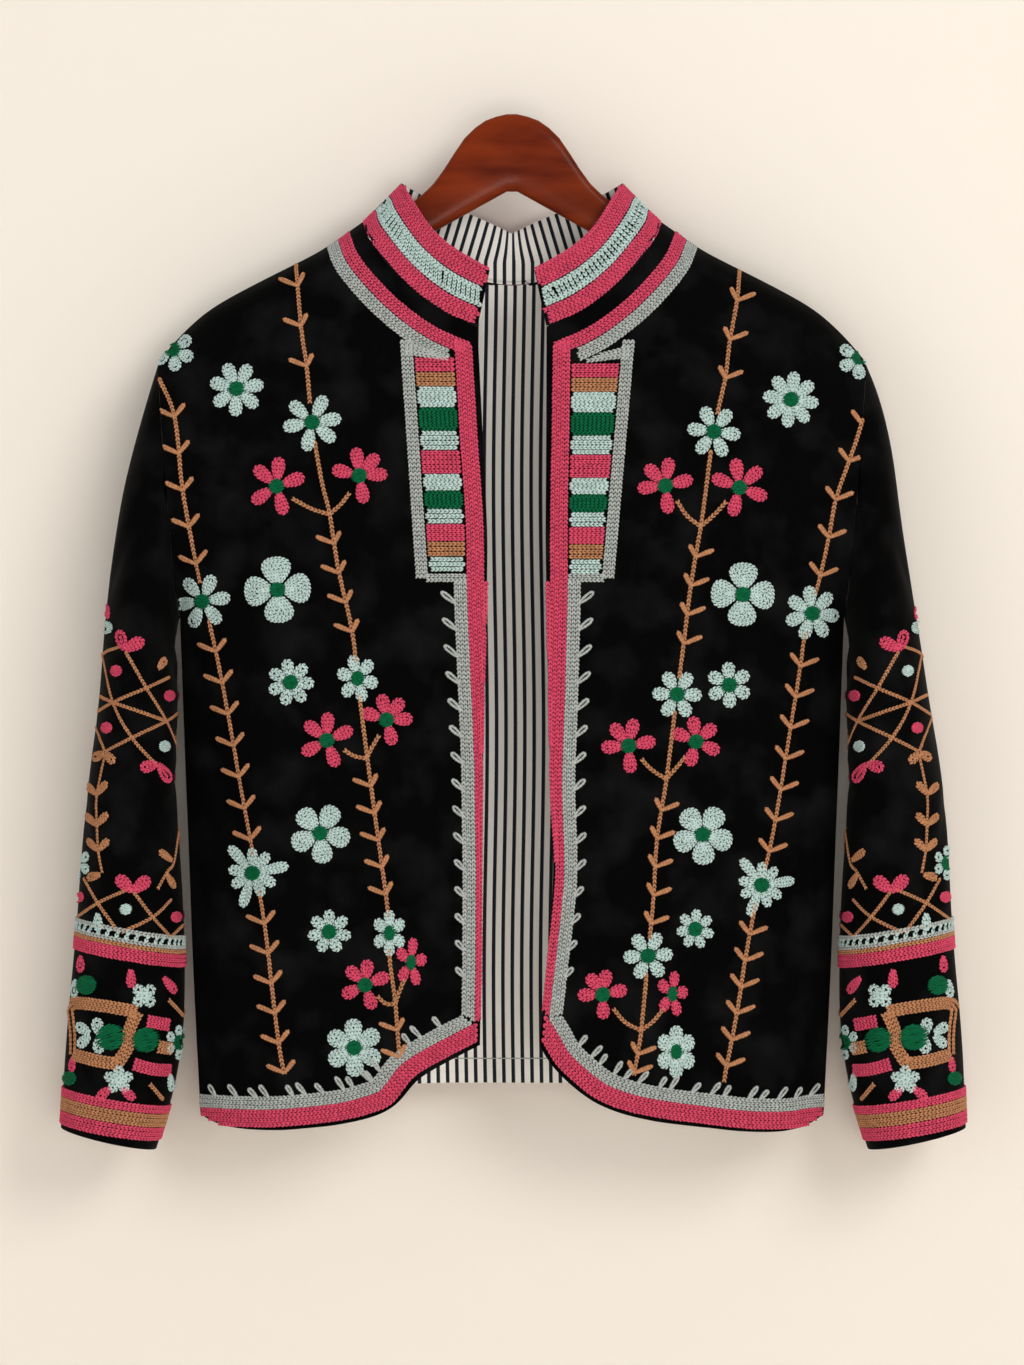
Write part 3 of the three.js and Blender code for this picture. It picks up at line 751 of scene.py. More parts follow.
# Distance of the grey band from the front edge, which narrows where the edge rolls inwards
GREY_AT = {
    "left": [
        (165, 18.0), (262, 17.0), (345, 16.0), (372, 14.6), (445, 9.0), (490, 6.5), (565, 4.6), (704, 4.4),
    ],
    "right": [
        (165, 18.0), (262, 17.0), (345, 16.5), (372, 15.5), (445, 12.0), (490, 9.5), (565, 7.0), (704, 5.0),
    ],
}
HEM_GREY_AT = 16.4
GREY_ROWS = 3
NECK_ROWS = {"pink": (14.6, 18.0, 21.4), "grey": (25.2, 28.5, 31.8)}
PLACKET_FOOT = 355.3  # the drop where the placket ends and the grey band follows the front edge
TAB_LENGTH = 22
TAB_FOOT, TAB_OUTER = 190.3, 76  # where the neck's grey rows stop above the placket
HEM_RUN_ON = 18  # mm that a front's hem line runs on past its front corner
HEM_END = [(225, 762.5), (250, 761)]  # where a front's hem line runs past the side seam
BACK_HEM_END = [(250, 756)]
EDGE_ROWS, HEM_ROWS = 5, 4  # rows of pink that fit between the grey band and the cut edge, at most


def hem_guide(table, sign):
    """The hem's line, run on straight past the front corner and past the side seam."""
    line = placed(table[:-2] + HEM_END, sign)
    first = line[0] - line[1]
    return np.vstack([line[0] + first * (HEM_RUN_ON / np.linalg.norm(first)), line])


edges = {}
for side, sign in SIDES.items():
    edges[side] = {
        "opening": curve(placed(OPENING[side], sign)),
        "hem": curve(hem_guide(HEM[side], sign)),
        "neck": curve(placed(NECK_FRONT, sign)),
    }
left_hem = placed(BACK_HEM_END + HEM["back"][-2::-1], -1)
right_hem = placed(HEM["back"][1:-1] + BACK_HEM_END)
edges["back"] = {"hem": curve(np.vstack([left_hem, right_hem]))}


def inside_of(side):
    """A flat place well inside a piece, which tells which way is inwards from its edges."""
    return SIDES.get(side, 0) * 150, 400


def grey_at(side, drop):
    """Distance of the grey band from the front edge at a drop."""
    table = np.array(GREY_AT[side])
    return np.interp(drop - JACKET_LEVEL, table[:, 0], table[:, 1])


def front_edge_rows(side):
    """Pink and grey rows down the front edge; they stop at the neck's and the hem's own rows."""
    area, inside = side + "_front", inside_of(side)
    line = edges[side]["opening"]
    drop = line[:, 1]
    for k in range(EDGE_ROWS):
        offset = grey_at(side, drop) - PITCH * (k + 0.5)
        row = beside(line, np.maximum(offset, EDGE_ROW), inside)
        from_neck = distance_to(edges[side]["neck"], row)
        from_hem = distance_to(edges[side]["hem"], row)
        keep = (offset > -EDGE_ROW) & (from_hem > HEM_GREY_AT) & (from_neck > NECK_ROWS["pink"][0])
        keep &= (offset > PIPING + 1.2) | (drop > PLACKET_FOOT)
        draw(area, "pink", kept(row, keep))
    for k in range(GREY_ROWS):
        row = beside(line, grey_at(side, drop) + PITCH * (k + 0.5), inside)
        from_hem = distance_to(edges[side]["hem"], row)
        keep = (drop > PLACKET_FOOT) & (from_hem > HEM_GREY_AT + PITCH * (k + 0.5))
        draw(area, "grey", kept(row, keep))


def hem_rows(side):
    """Pink rows and grey rows along a hem; on the fronts the grey ones stop at the front edge's."""
    line = edges[side]["hem"]
    area, face = ("back", "back") if side == "back" else (side + "_front", "front")
    pinks = [HEM_GREY_AT - PITCH * (k + 0.5) for k in range(HEM_ROWS)]
    greys = [HEM_GREY_AT + PITCH * (k + 0.5) for k in range(GREY_ROWS)]
    for colour, offsets in (("pink", pinks), ("grey", greys)):
        for k, offset in enumerate(offsets):
            row = beside(line, offset, inside_of(side))
            keep = distance_to(line, row) > offset - 0.4
            if side != "back":
                end = 1.5 if colour == "pink" else 4.4 + PITCH * (k + 0.5)
                opening = edges[side]["opening"]
                at_edge = np.interp(row[:, 1], opening[:, 1], opening[:, 0])
                keep &= (distance_to(opening, row) > end) & (SIDES[side] * (row[:, 0] - at_edge) > 0)
            draw(area, colour, kept(row, keep), face)


for side in SIDES:
    front_edge_rows(side)
    hem_rows(side)
hem_rows("back")
# The line of stitches that holds up the lining's hem
hem_line = lowered(curve([(-236, 709), (0, 709), (236, 709)]))
draw("lining", "grey", hem_line, width=0.9, strands=1, step=4)

# %% Neck rows
NECK_STEP = 1.0  # mm between two steps away from the neck seam
NECK_REACH = 36
SHOULDER_HALF = 0.02  # half the depth of the shoulder ridge, in metres
LOOK_FROM = 0.012
WAY_BLEND = 3  # neighbours on each side that a line takes its direction from
NECK_START = 2  # mm from the seam where the lines begin
NECK_CENTRE = Vector((0, 0, -0.13))  # inside the neck, so that outwards is away from it
NECK_CENTRE_Y = 0.006
NECK_RIM = Vector((0, 0, -0.10))  # the first step goes straight away from here
NECK_FRONT_Y, NECK_BACK_Y = -0.03, 0.02  # in front of the body, and behind its front half


def neck_line():
    """The neck seam all round, from the left front over the back to the right front, in metres."""
    front = placed(NECK_FRONT)[:-1]
    back = placed(NECK_BACK)
    half = [(x, NECK_FRONT_Y, drop) for x, drop in front] + [(x, NECK_BACK_Y, drop) for x, drop in back]
    left = [(-x, y, drop) for x, y, drop in half]
    return np.array([(x * MM, y, -drop * MM) for x, y, drop in left + half[::-1][1:]])


def on_body(point):
    """The place on the body's cloth in front of or behind a point, and the cloth's direction there."""
    way = -1 if point.y < 0 else 1
    origin = Vector((point.x, way * 0.3, point.z))
    hit, normal, _, _ = TREES["body"].ray_cast(origin, Vector((0, -way, 0)))
    return (hit, normal if normal.y * way > 0 else -normal) if hit else (None, None)


def neck_grid():
    """Lines that walk away from the neck seam over the cloth: points and normals, step by step."""
    start = []
    for place in neck_line():
        out = Vector((place[0], 0, place[2])) - NECK_RIM
        start.append(Vector(place) + out.normalized() * (NECK_START * MM))
    rough = [on_body(p)[0] or TREES["body"].find_nearest(p)[0] for p in start]
    line = curve(np.array(rough) / MM, 2.0) * MM
    tangent = unit(np.gradient(line, axis=0))
    points = [Vector(p) for p in line]
    way = [None] * len(points)
    grid_points, grid_normals = [], []
    for step in range(int(NECK_REACH / NECK_STEP) + 1):
        places, normals = [], []
        for k, point in enumerate(points):
            # the cloth is looked for from in front, from behind, and from above at the shoulder's ridge
            depth = max(-1.0, min(1.0, point.y / SHOULDER_HALF))
            look = Vector((0.35 * (1 - abs(depth)) * (1 if point.x > 0 else -1), depth, 1.15 - abs(depth)))
            look.normalize()
            place, normal, _, _ = TREES["body"].ray_cast(point + look * LOOK_FROM, -look, 2 * LOOK_FROM)
            if place is None:
                place, normal, _, _ = TREES["body"].find_nearest(point)
            if way[k] is None:
                way[k] = Vector(tangent[k]).cross(normal)
                if way[k].dot(place - NECK_CENTRE) < 0:
                    way[k] = -way[k]
            if normal.dot(look) < 0:
                normal = -normal
            ahead = way[k] - normal * way[k].dot(normal)
            way[k] = ahead.normalized()
            normals.append(normal)
            places.append(place)
        # Neighbours share their direction, so that the lines do not cross at the shoulder
        near = [way[max(0, k - WAY_BLEND) : k + WAY_BLEND + 1] for k in range(len(way))]
        way = [sum(group, Vector()).normalized() for group in near]
        points = [place + step_way * (NECK_STEP * MM) for place, step_way in zip(places, way)]
        grid_points += places
        grid_normals += normals
    shape = (-1, len(line), 3)
    return np.array(grid_points).reshape(shape), np.array(grid_normals).reshape(shape)


neck_points, neck_normals = neck_grid()
print("neck grid", neck_points.shape)


def neck_row(colour, distance, opening_gap, lowest=1000):
    """One row round the neck at a distance from the seam; it stops short of the front edges."""
    level = distance / NECK_STEP
    low = int(level)
    share = level - low
    points = neck_points[low] * (1 - share) + neck_points[low + 1] * share
    flat = np.column_stack([points[:, 0], -points[:, 2]]) / MM
    keep = np.ones(len(points), bool)
    for side in SIDES:
        keep &= (distance_to(edges[side]["opening"], flat) > opening_gap) | (points[:, 1] > 0)
    keep &= (flat[:, 1] < lowest) | (np.abs(flat[:, 0]) > TAB_OUTER) | (points[:, 1] > 0)
    chosen = np.flatnonzero(keep)
    run = slice(chosen[0], chosen[-1] + 1)
    sew("neck", colour, points[run], neck_normals[low][run])


for k, distance in enumerate(NECK_ROWS["pink"]):
    neck_row("pink", distance - NECK_START, PIPING + 2 + PITCH * k)
for distance in NECK_ROWS["grey"]:
    neck_row("grey", distance - NECK_START, TAB_LENGTH, TAB_FOOT)

# %% [markdown]
# ## The collar
#
# The collar's rows run from front edge to front edge at fixed shares of its height, so they are spread
# evenly between its foot and its top edge. The lace between the two aqua rows is short slanting bars,
# a cord rolls over the top edge, and a dark cord closes the seam where the collar meets the body.

# %% Collar bands
def lace_bars(area, colour, low, high, gap, lean):
    """Slanting bars between two lines of points, like a ladder of lace."""
    run = run_along(low[0]) / MM
    last = min(len(low[0]), len(high[0])) - 1
    for at in np.arange(gap / 2, run[-1] - gap / 2, gap):
        a = min(last, int(np.searchsorted(run, at)))
        b = min(last, int(np.searchsorted(run, at + lean)))
        sew(area, colour, [low[0][a], high[0][b]], [low[1][a], high[1][b]], width=3.0, step=3.0)


COLLAR_POINTS = 240  # places along a row, so that rows match place against place
# Bands by their shares of the collar's height; the aqua one keeps its outer rows, and lace fills it
COLLAR_BANDS = rows(
    ("colour", "from", "to", "rows", "kept"),
    ("pink", 0.02, 0.315, 4, (0, 1, 2, 3)),
    ("aqua", 0.335, 0.665, 5, (0, 4)),
    ("pink", 0.685, 0.985, 4, (0, 1, 2, 3)),
)
COLLAR_LACE = {"inset": 0.05, "gap": 4.2, "lean": 2.6}
COLLAR_SIDE_Y = 0.004  # where the collar's front half ends and its back half begins


def even_line(line, count):
    """The same line with a given number of evenly spaced points."""
    run = run_along(line)
    return pick(np.linspace(0, run[-1], count), run, line)


def collar_lines():
    """The collar's foot and its top edge, point against point, in mm, from left front to right front."""
    feet = [
        [(x, 44 * k / 5 - 45.0, -drop) for k, (x, drop) in enumerate(placed(NECK_FRONT))],
        [(x, 36.0 * k / 4, -drop) for k, (x, drop) in enumerate(placed(NECK_BACK))],
    ]
    tops = [
        [(x, y, -drop - JACKET_LEVEL) for x, y, drop in table]
        for table in (COLLAR_TOP_FRONT, COLLAR_TOP_BACK)
    ]
    lines = []
    for front, back in (feet, tops):
        half = np.vstack([even_line(curve(front, 2), 16), even_line(curve(back, 2), 14)[1:]])
        left = half * (-1, 1, 1)
        lines.append(np.vstack([left, half[::-1][1:]]))
    return lines


def collar_row(share):
    """Points and outward normals along the collar at a share of its height."""
    line = even_line(curve(collar_foot * (1 - share) + collar_top * share, 2.0), COLLAR_POINTS) * MM
    points, normals = [], []
    for place in line:
        near, normal, _, _ = TREES["collar"].find_nearest(Vector(place))
        if normal.dot(near - NECK_CENTRE) < 0:
            normal = -normal
            near = near + normal * 2.0 * MM
        points.append(near)
        normals.append(normal)
    return np.array(points), np.array(normals)


collar_foot, collar_top = collar_lines()
for band in COLLAR_BANDS:
    width = (band["to"] - band["from"]) / band["rows"]
    for k in band["kept"]:
        sew("collar", band["colour"], *collar_row(band["from"] + width * (k + 0.5)))
low = collar_row(COLLAR_BANDS[1]["from"] + COLLAR_LACE["inset"])
high = collar_row(COLLAR_BANDS[1]["to"] - COLLAR_LACE["inset"])
lace_bars("collar", "aqua", low, high, COLLAR_LACE["gap"], COLLAR_LACE["lean"])
# A cord of pink rolls over the top edge, and a dark one closes the seam at the collar's foot
rim = curve(collar_top, 2.0) * MM
rim_out = unit(rim * (1, 1, 0) - np.array([0, NECK_CENTRE_Y, 0]))
sunk = np.interp(rim[:, 1] / MM, [-10, 10], [0.2, -2.2])[:, None] * MM
sew("collar", "pink", rim + rim_out * 0.6 * MM + sunk * (0, 0, 1), unit(rim_out + (0, 0, 1.0)), width=3.8)
points, normals = collar_row(0.0)
for sign in SIDES.values():
    part = (points[:, 1] < -COLLAR_SIDE_Y) & (points[:, 0] * sign > 0)
    sew("collar", "black", points[part], normals[part], width=2.6, strands=1, lift=-0.6)
behind = points[:, 1] > COLLAR_SIDE_Y
sew("collar", "black", points[behind], normals[behind], width=1.9, strands=1, lift=0.4)
print("collar rows", sum(len(band["kept"]) for band in COLLAR_BANDS))

# %% [markdown]
# ## Flowers and vines
#
# Each front carries two climbing vines with pairs of leaves, and flowers of pink or pale aqua yarn on
# them and between them. A flower is its petals, each made of outlines one inside the other, and a disc
# of green satin stitch. The flowers differ in size, in the number of petals and in how far they are
# turned or squeezed, as handwork does, so a table holds one line for each.

# %% Petals, discs and leaves
FINE_WIDTH = 3.1
SATIN_WIDTH = 1.5
PETAL_PITCH = 2.7
DISC_LIFT = 1.0
PETAL_ROOT = 4.6
LEAF_WIDTH, LEAF_CORD = 4.8, 2.7
LEAF_LEAN = 0.6  # how far leaves lean with their stem, as a share of its slope
HEART = 5.4  # radius of the green disc in a flower
PETAL_WIDEST = 11.0
PETAL_FILL = 0.62  # the share of a flower's girth that its petals fill
FLOWER_COVER = 0.62  # the share of a flower's radius that hides a stem under it
LONG_PETAL, SHORT_PETAL = 1.32, 0.92  # of the radius, in a spiky flower


def turned(points, angle, at, squeeze=1.0):
    """Flat points turned by an angle in degrees (up is 90), squeezed across and moved to a place."""
    a = math.radians(angle)
    points = np.asarray(points, float)
    x = points[:, 0] * math.cos(a) - points[:, 1] * math.sin(a)
    up = points[:, 0] * math.sin(a) + points[:, 1] * math.cos(a)
    return np.column_stack([at[0] + x * squeeze, at[1] - up])


def petal(area, colour, at, angle, near, far, width, face="front", squeeze=1.0):
    """An egg-shaped petal: outlines one inside the other, and a row down the middle."""
    turn = np.linspace(0, 2 * math.pi, 44)
    share = (1 - np.cos(turn)) / 2
    inset = FINE_WIDTH / 2
    half = width / 2 - inset
    while half > 0.8:
        start, end = near + (inset - FINE_WIDTH / 2) * 0.7, far - inset
        reach = start + (end - start) * share**0.85
        aside = half * np.sin(turn) * (0.62 + 0.56 * share)
        outline = turned(np.column_stack([reach, aside]), angle, at, squeeze)
        draw(area, colour, outline, face, width=FINE_WIDTH, step=2.9)
        inset += PETAL_PITCH
        half -= PETAL_PITCH
    if half > 0.2 - PETAL_PITCH / 2:
        line = [(near + 1.5, 0), (far - inset, 0)]
        draw(area, colour, curve(turned(line, angle, at, squeeze)), face, width=FINE_WIDTH)


def disc(area, colour, at, radius, face="front", squeeze=1.0):
    """Satin stitch: thin strands side by side across a disc, raised a little in the middle."""
    count = max(3, round(2 * radius / (SATIN_WIDTH * 0.8)))
    for k in range(count):
        y = radius * (2 * (k + 0.5) / count - 1)
        reach = math.sqrt(radius**2 - y**2)
        line = turned([(-reach, y), (0, y), (reach, y)], 20, at, squeeze)
        draw(area, colour, line, face, width=SATIN_WIDTH, strands=1, step=reach, lift=DISC_LIFT)


def flower(area, spec, face="front"):
    """All the petals of one flower and its green disc."""
    count, at = spec["petals"], lowered(spec["at"])
    turn, squeeze = spec["turn"], spec.get("squeeze", 1.0)
    width = spec.get("wide") or min(PETAL_WIDEST, 2 * math.pi * spec["radius"] * PETAL_FILL / count)
    for k in range(count):
        angle = turn[k] if isinstance(turn, tuple) else turn + 360 / count * k
        long = (SHORT_PETAL if k % 3 else LONG_PETAL) if spec.get("spiky") else 1.0
        root, tip = spec.get("root", PETAL_ROOT), spec["radius"] * long
        petal(area, spec["colour"], at, angle, root, tip, width, face, squeeze)
    if spec.get("heart", True):
        disc(area, "green", at, HEART, face, squeeze)


def leaf(area, colour, at, angle, length, width=LEAF_WIDTH, face="front", cord=LEAF_CORD):
    """A narrow loop of one strand, out from the stem, round its tip and back."""
    turn = np.linspace(0, 2 * math.pi, 26)
    share = (1 - np.cos(turn)) / 2
    aside = (width - cord) / 2 * np.sin(turn) * (0.35 + 0.65 * share)
    shape = np.column_stack([(length - cord / 2) * share, aside])
    draw(area, colour, turned(shape, angle, at), face, width=cord, strands=1, step=2.4)


def clear_of(places, specs):
    """The stretches of a stem that are not hidden by a flower."""
    hidden = np.zeros(len(places), bool)
    for spec in specs:
        hidden |= np.linalg.norm(places - spec["at"], axis=1) < spec["radius"] * FLOWER_COVER
    cuts = np.flatnonzero(np.diff(hidden.astype(int))) + 1
    return [part for part, h in zip(np.split(places, cuts), np.split(hidden, cuts)) if not h[0]]


def vine(area, colour, stem, leaf_spans, specs, length, spread):
    """A stem with pairs of leaves spaced evenly over each span of drops."""
    line = curve(stem)
    for part in clear_of(line, specs):
        draw(area, colour, lowered(part), width=3.0)
    for first, last, count in leaf_spans:
        for drop in np.linspace(first, last, count):
            x = np.interp(drop, line[:, 1], line[:, 0])
            slope = math.degrees(math.atan2(*(line[-1] - line[0])))
            for size, angle in zip(length, spread):
                leaf(area, colour, lowered((x, drop)), angle + slope * LEAF_LEAN, size)


# %% Flowers of the two fronts
# "turn" is the angle of the first petal, the others following evenly, or else it lists every angle
FLOWER = ("colour", "at", "radius", "petals", "turn", "wide", "squeeze", "spiky", "heart", "root")
FLOWERS = {
    "left": rows(
        FLOWER,
        ("aqua", (-253.8, 178), 16.5, 6, 96),
        ("aqua", (-206.5, 207), 21.0, 7, 113),
        ("aqua", (-150, 232), 22.5, 6, (137, 64, 8, -40, -101, 190)),
        ("pink", (-176.5, 280), 22.5, 5, (138, 85, 20, -75, 213)),
        ("pink", (-114.5, 272), 21.5, 5, (166, 97, 48, 3, -80)),
        ("aqua", (-175.8, 357.5), 25, 4, 94, 24),
        ("aqua", (-232, 366), 21.5, 6, 128),
        ("aqua", (-166, 427), 18, 7, 100),
        ("aqua", (-115.8, 424), 18.5, 6, 106, None, 0.85),
        ("pink", (-138.8, 470.5), 21.5, 5, (140, 88, 24, -70, 208)),
        ("pink", (-94, 455), 20, 5, (162, 102, 52, 2, -76)),
        ("aqua", (-144, 540), 23, 5, 132, 17),
        ("aqua", (-194, 570), 21, 9, 12, None, 1.0, True),
        ("aqua", (-137, 614), 17, 7, 90),
        ("aqua", (-92, 615), 18, 6, 90, None, 0.7),
        ("pink", (-110, 654), 19.5, 5, (136, 84, 22, -72, 205)),
        ("pink", (-75.8, 637), 19.5, 5, 80, None, 0.6),
        ("aqua", (-118.4, 701), 22, 6, 92, 14.5),
    ),
    "right": rows(
        FLOWER,
        ("aqua", (260, 184), 16.5, 6, 90),
        ("aqua", (209, 215), 21.5, 8, 82),
        ("aqua", (151.4, 239), 20.5, 6, 113),
        ("pink", (115, 279.5), 21.5, 5, (134, 82, 14, -84, 186)),
        ("pink", (170.5, 281), 22.5, 5, (158, 98, 42, -20, -104)),
        ("aqua", (173, 361), 24, 4, 88, 23),
        ("aqua", (224.7, 375), 21, 7, 96),
        ("aqua", (123.7, 436), 19, 6, 118),
        ("aqua", (162.7, 429), 17.5, 6, 92),
        ("pink", (87.4, 474.5), 21, 5, (128, 78, 10, -86, 184)),
        ("pink", (138, 471.5), 19.5, 5, (156, 97, 40, -24, -106)),
        ("aqua", (143, 541), 23, 5, 128, 18),
        ("aqua", (187, 579), 19.5, 9, 8, None, 1.0, True),
        ("aqua", (102, 632), 19, 6, 124),
        ("aqua", (137.4, 612), 15.5, 7, 86, None, 0.95),
        ("pink", (68, 661), 19, 5, (126, 80, 12, -88, 182)),
        ("pink", (120, 660.7), 18, 5, 78, None, 0.65),
        ("aqua", (123, 704), 20, 6, 90, 14, 0.75),
    ),
}
for side, specs in FLOWERS.items():
    for spec in specs:
        flower(side + "_front", spec)
    print(side, "front:", len(specs), "flowers")

# %% Vines of the two fronts
VINES = {
    "left": [
        {
            "stem": [
                (-266, 196), (-253, 228), (-247, 282), (-237, 337), (-222, 404), (-212, 455), (-203, 507),
                (-196, 545), (-185.5, 608), (-180, 656), (-174.5, 701), (-170.5, 721),
            ],
            "leaves": [(228, 338, 5), (404, 545, 7), (608, 720, 6)],
        },
        {
            "stem": [
                (-162, 112), (-158, 162), (-154, 190), (-150, 232), (-143, 275), (-137, 300), (-130, 343),
                (-120, 388), (-116, 424), (-108.6, 483), (-103, 525), (-98, 561), (-93, 600), (-92, 632),
                (-87.6, 667), (-84.5, 708),
            ],
            "leaves": [(130, 190, 3), (323, 389, 4), (505, 586, 5), (688, 708, 2)],
        },
    ],
    "right": [
        {
            "stem": [
                (270, 200), (262, 233), (253.5, 259), (243, 289), (237.7, 317), (231, 347), (219.5, 392),
                (216, 415.5), (208, 465), (199.4, 518), (192.7, 554), (183, 592), (175, 634), (168.6, 675),
                (161, 715), (159, 727),
            ],
            "leaves": [(233, 347, 5), (415, 554, 7), (616, 715, 6)],
        },
        {
            "stem": [
                (170.5, 118), (168.6, 141), (163, 173), (160, 198), (151.4, 239), (145, 285.5), (141.5, 310),
                (134, 354.5), (128.7, 398), (123.7, 436), (115.8, 499), (108.6, 544.5), (106, 587),
                (102, 632), (97, 687), (91.4, 722),
            ],
            "leaves": [(141, 199, 3), (333, 398, 4), (523, 608, 5), (706, 720, 2)],
        },
    ],
}
# Forked twigs from a vine to two pink flowers each
TWIGS = {
    "left": [
        [(-137, 301), (-150, 297), (-165, 289)], [(-137, 301), (-128, 293), (-119, 281)],
        [(-109, 484), (-119, 482), (-131, 474)], [(-109, 484), (-104, 474), (-98, 464)],
        [(-87.6, 668), (-95, 668), (-103, 660)], [(-87.6, 668), (-83, 655), (-78, 645)],
    ],
    "right": [
        [(141.5, 310), (131, 302), (122, 288)], [(141.5, 310), (151, 302), (163, 289)],
        [(115.5, 499.5), (104, 492), (95, 482)], [(115.5, 499.5), (124, 490), (132, 480)],
        [(97, 688), (85, 682), (74, 669)], [(97, 688), (107, 680), (116, 668)],
    ],
}
for side in SIDES:
    area = side + "_front"
    for k, plan in enumerate(VINES[side]):
        long, short = (16, 14) if k == 0 else (16, 12)
        flat, steep = (30, 46) if k == 0 else (26, 60)
        reach = (long, short) if side == "left" else (short, long)
        spread = (180 - flat, steep) if side == "left" else (180 - steep, flat)
        vine(area, "tan", plan["stem"], plan["leaves"], FLOWERS[side], reach, spread)
    for twig in TWIGS[side]:
        for part in clear_of(curve(twig), FLOWERS[side]):
            draw(area, "tan", lowered(part), width=3.0)

# %% [markdown]
# ## The plackets
#
# Beside the upper part of each front edge stands a ladder of short coloured blocks, framed by a strip of
# grey-green. Each block is a few short rows; the green ones are closer and finer, like satin stitch.

# %% Placket blocks
# Blocks from the top down: where each one ends, and its colour
BLOCKS_TOP = 183.0
BLOCKS = rows(
    ("foot", "colour"),
    (194, "pink"),
    (205, "tan"),
    (220.5, "aqua"),
    (238, "green"),
    (252.8, "aqua"),
    (270.5, "pink"),
    (283, "aqua"),
    (296.5, "green"),
    (308, "aqua"),
    (321, "pink"),
    (332.5, "tan"),
    (344, "aqua"),
)
# The right placket's blocks hang a little lower, at its top more than at its foot
LOWER = {"left": (0.0, 0.0), "right": (4.5, 1.8)}
STRIP = {"left": [(-79.5, 170), (-67.5, 349)], "right": [(87.5, 170), (72, 349)]}
STRIP_ROWS = 3
BLOCK_GAP = 5.6  # mm between the blocks and the middle of the strip beside them
FINE_ROW = 2.2  # pitch of a green block's rows


def placket(side):
    """One side's strip, the tab of three rows at its top, the blocks, and two rows under them."""
    area, sign = side + "_front", SIDES[side]
    opening = edges[side]["opening"]
    (x0, d0), (x1, d1) = STRIP[side]
    for k in range(STRIP_ROWS):
        shift = sign * PITCH * 0.92 * (k - 1)
        draw(area, "grey", lowered(curve([(x0 + shift, d0), (x1 + shift, d1)])), width=3.0)
    for k in range(3):
        low = 3.1 * k + LOWER[side][0] * 0.5
        tab = [(x0 + sign * 1, 173.5 + low), (x0 - sign * (22 + 5 * k), 180 + low * 0.7)]
        draw(area, "grey", lowered(curve(tab)), width=3.0)
    top = BLOCKS_TOP
    for block in BLOCKS:
        fine = block["colour"] == "green"
        foot = block["foot"]
        ends = (BLOCKS_TOP, BLOCKS[-1]["foot"])
        start, end = (drop + np.interp(drop, ends, LOWER[side]) for drop in (top + 0.3, foot))
        top = foot
        count = max(2, round((end - start) / (FINE_ROW if fine else PITCH)))
        for k in range(count):
            drop = start + (k + 0.5) * (end - start) / count
            level = drop + JACKET_LEVEL
            near = np.interp(level, opening[:, 1], opening[:, 0]) + sign * (grey_at(side, level) + 1)
            away = np.interp(drop, (d0, d1), (x0, x1)) - sign * BLOCK_GAP
            inset = 1.6 if k in (0, count - 1) and block["colour"] in ("aqua", "green") else 0
            line = [(near + sign * inset, drop), (away - sign * inset, drop)]
            draw(area, block["colour"], lowered(curve(line)), width=2.5 if fine else ROW_WIDTH)
    for k in range(2):
        drop = PLACKET_FOOT - 3 + k * 3.2
        near = np.interp(drop, opening[:, 1], opening[:, 0]) + sign * grey_at(side, drop)
        draw(area, "grey", curve([(near, drop), (x1 - sign * 3, drop)]), width=3.0)


for side in SIDES:
    placket(side)

# %% Loops along the bands
LOOP_SPACING = 20.0
LOOP_CORD = 2.3  # thinner than a leaf's, so a hole stays open in the loop's head
LOOP_WIDTH = 6.2
LOOP_DROPS, LOOP_LENGTHS, LOOP_ANGLES = (368, 668), (15.5, 10.0), (38, 50)  # at the top and the foot
HEM_LOOP_SPACING = 14.0
HEM_LOOP_START, HEM_LOOP_END = 38, 18  # mm left free at the ends of the hem
HEM_LOOP_LENGTHS = (11, 13)


def edge_loops(side):
    """Loops that lean up and away from the band of a front edge, shorter towards the hem."""
    area, sign = side + "_front", SIDES[side]
    line = edges[side]["opening"]
    for drop in np.arange(*LOOP_DROPS, LOOP_SPACING):
        level = drop + JACKET_LEVEL
        at = np.interp(level, line[:, 1], line[:, 0])
        foot = (at + sign * (grey_at(side, level) + PITCH * GREY_ROWS - 1.5), level)
        length = np.interp(drop, LOOP_DROPS, LOOP_LENGTHS)
        angle = np.interp(drop, LOOP_DROPS, LOOP_ANGLES)
        angle = 180 - angle if side == "left" else angle
        leaf(area, "grey", foot, angle, length, LOOP_WIDTH, cord=LOOP_CORD)


def hem_loops(side):
    """Loops along a front's hem, a little uneven in their places and their lean."""
    area = side + "_front"
    line = edges[side]["hem"]
    inner = beside(line, HEM_GREY_AT + PITCH * GREY_ROWS - 1.0, inside_of(side))
    run = run_along(line)
    places = np.arange(HEM_LOOP_START, run[-1] - HEM_LOOP_END, HEM_LOOP_SPACING)
    for k, at in enumerate(places):
        at += 3 * math.sin(2.4 * k)
        foot = (np.interp(at, run, inner[:, 0]), np.interp(at, run, inner[:, 1]))
        lean = 128 + 6 * math.sin(1.7 * k)
        angle = lean if side == "left" else 180 - lean
        leaf(area, "grey", foot, angle, HEM_LOOP_LENGTHS[k % 2], LOOP_WIDTH - 0.6, cord=LOOP_CORD)


for side in SIDES:
    edge_loops(side)
    hem_loops(side)

# %% [markdown]
# ## The sleeves
#
# Each sleeve has a lattice of tan cord with little leaves, dots and pairs of petals in its spaces, a band
# of lace above the cuff, and a cuff of mixed motifs with its own bands. One plan is drawn for the right
# sleeve and mirrored for the left, on the front and again on the back half.

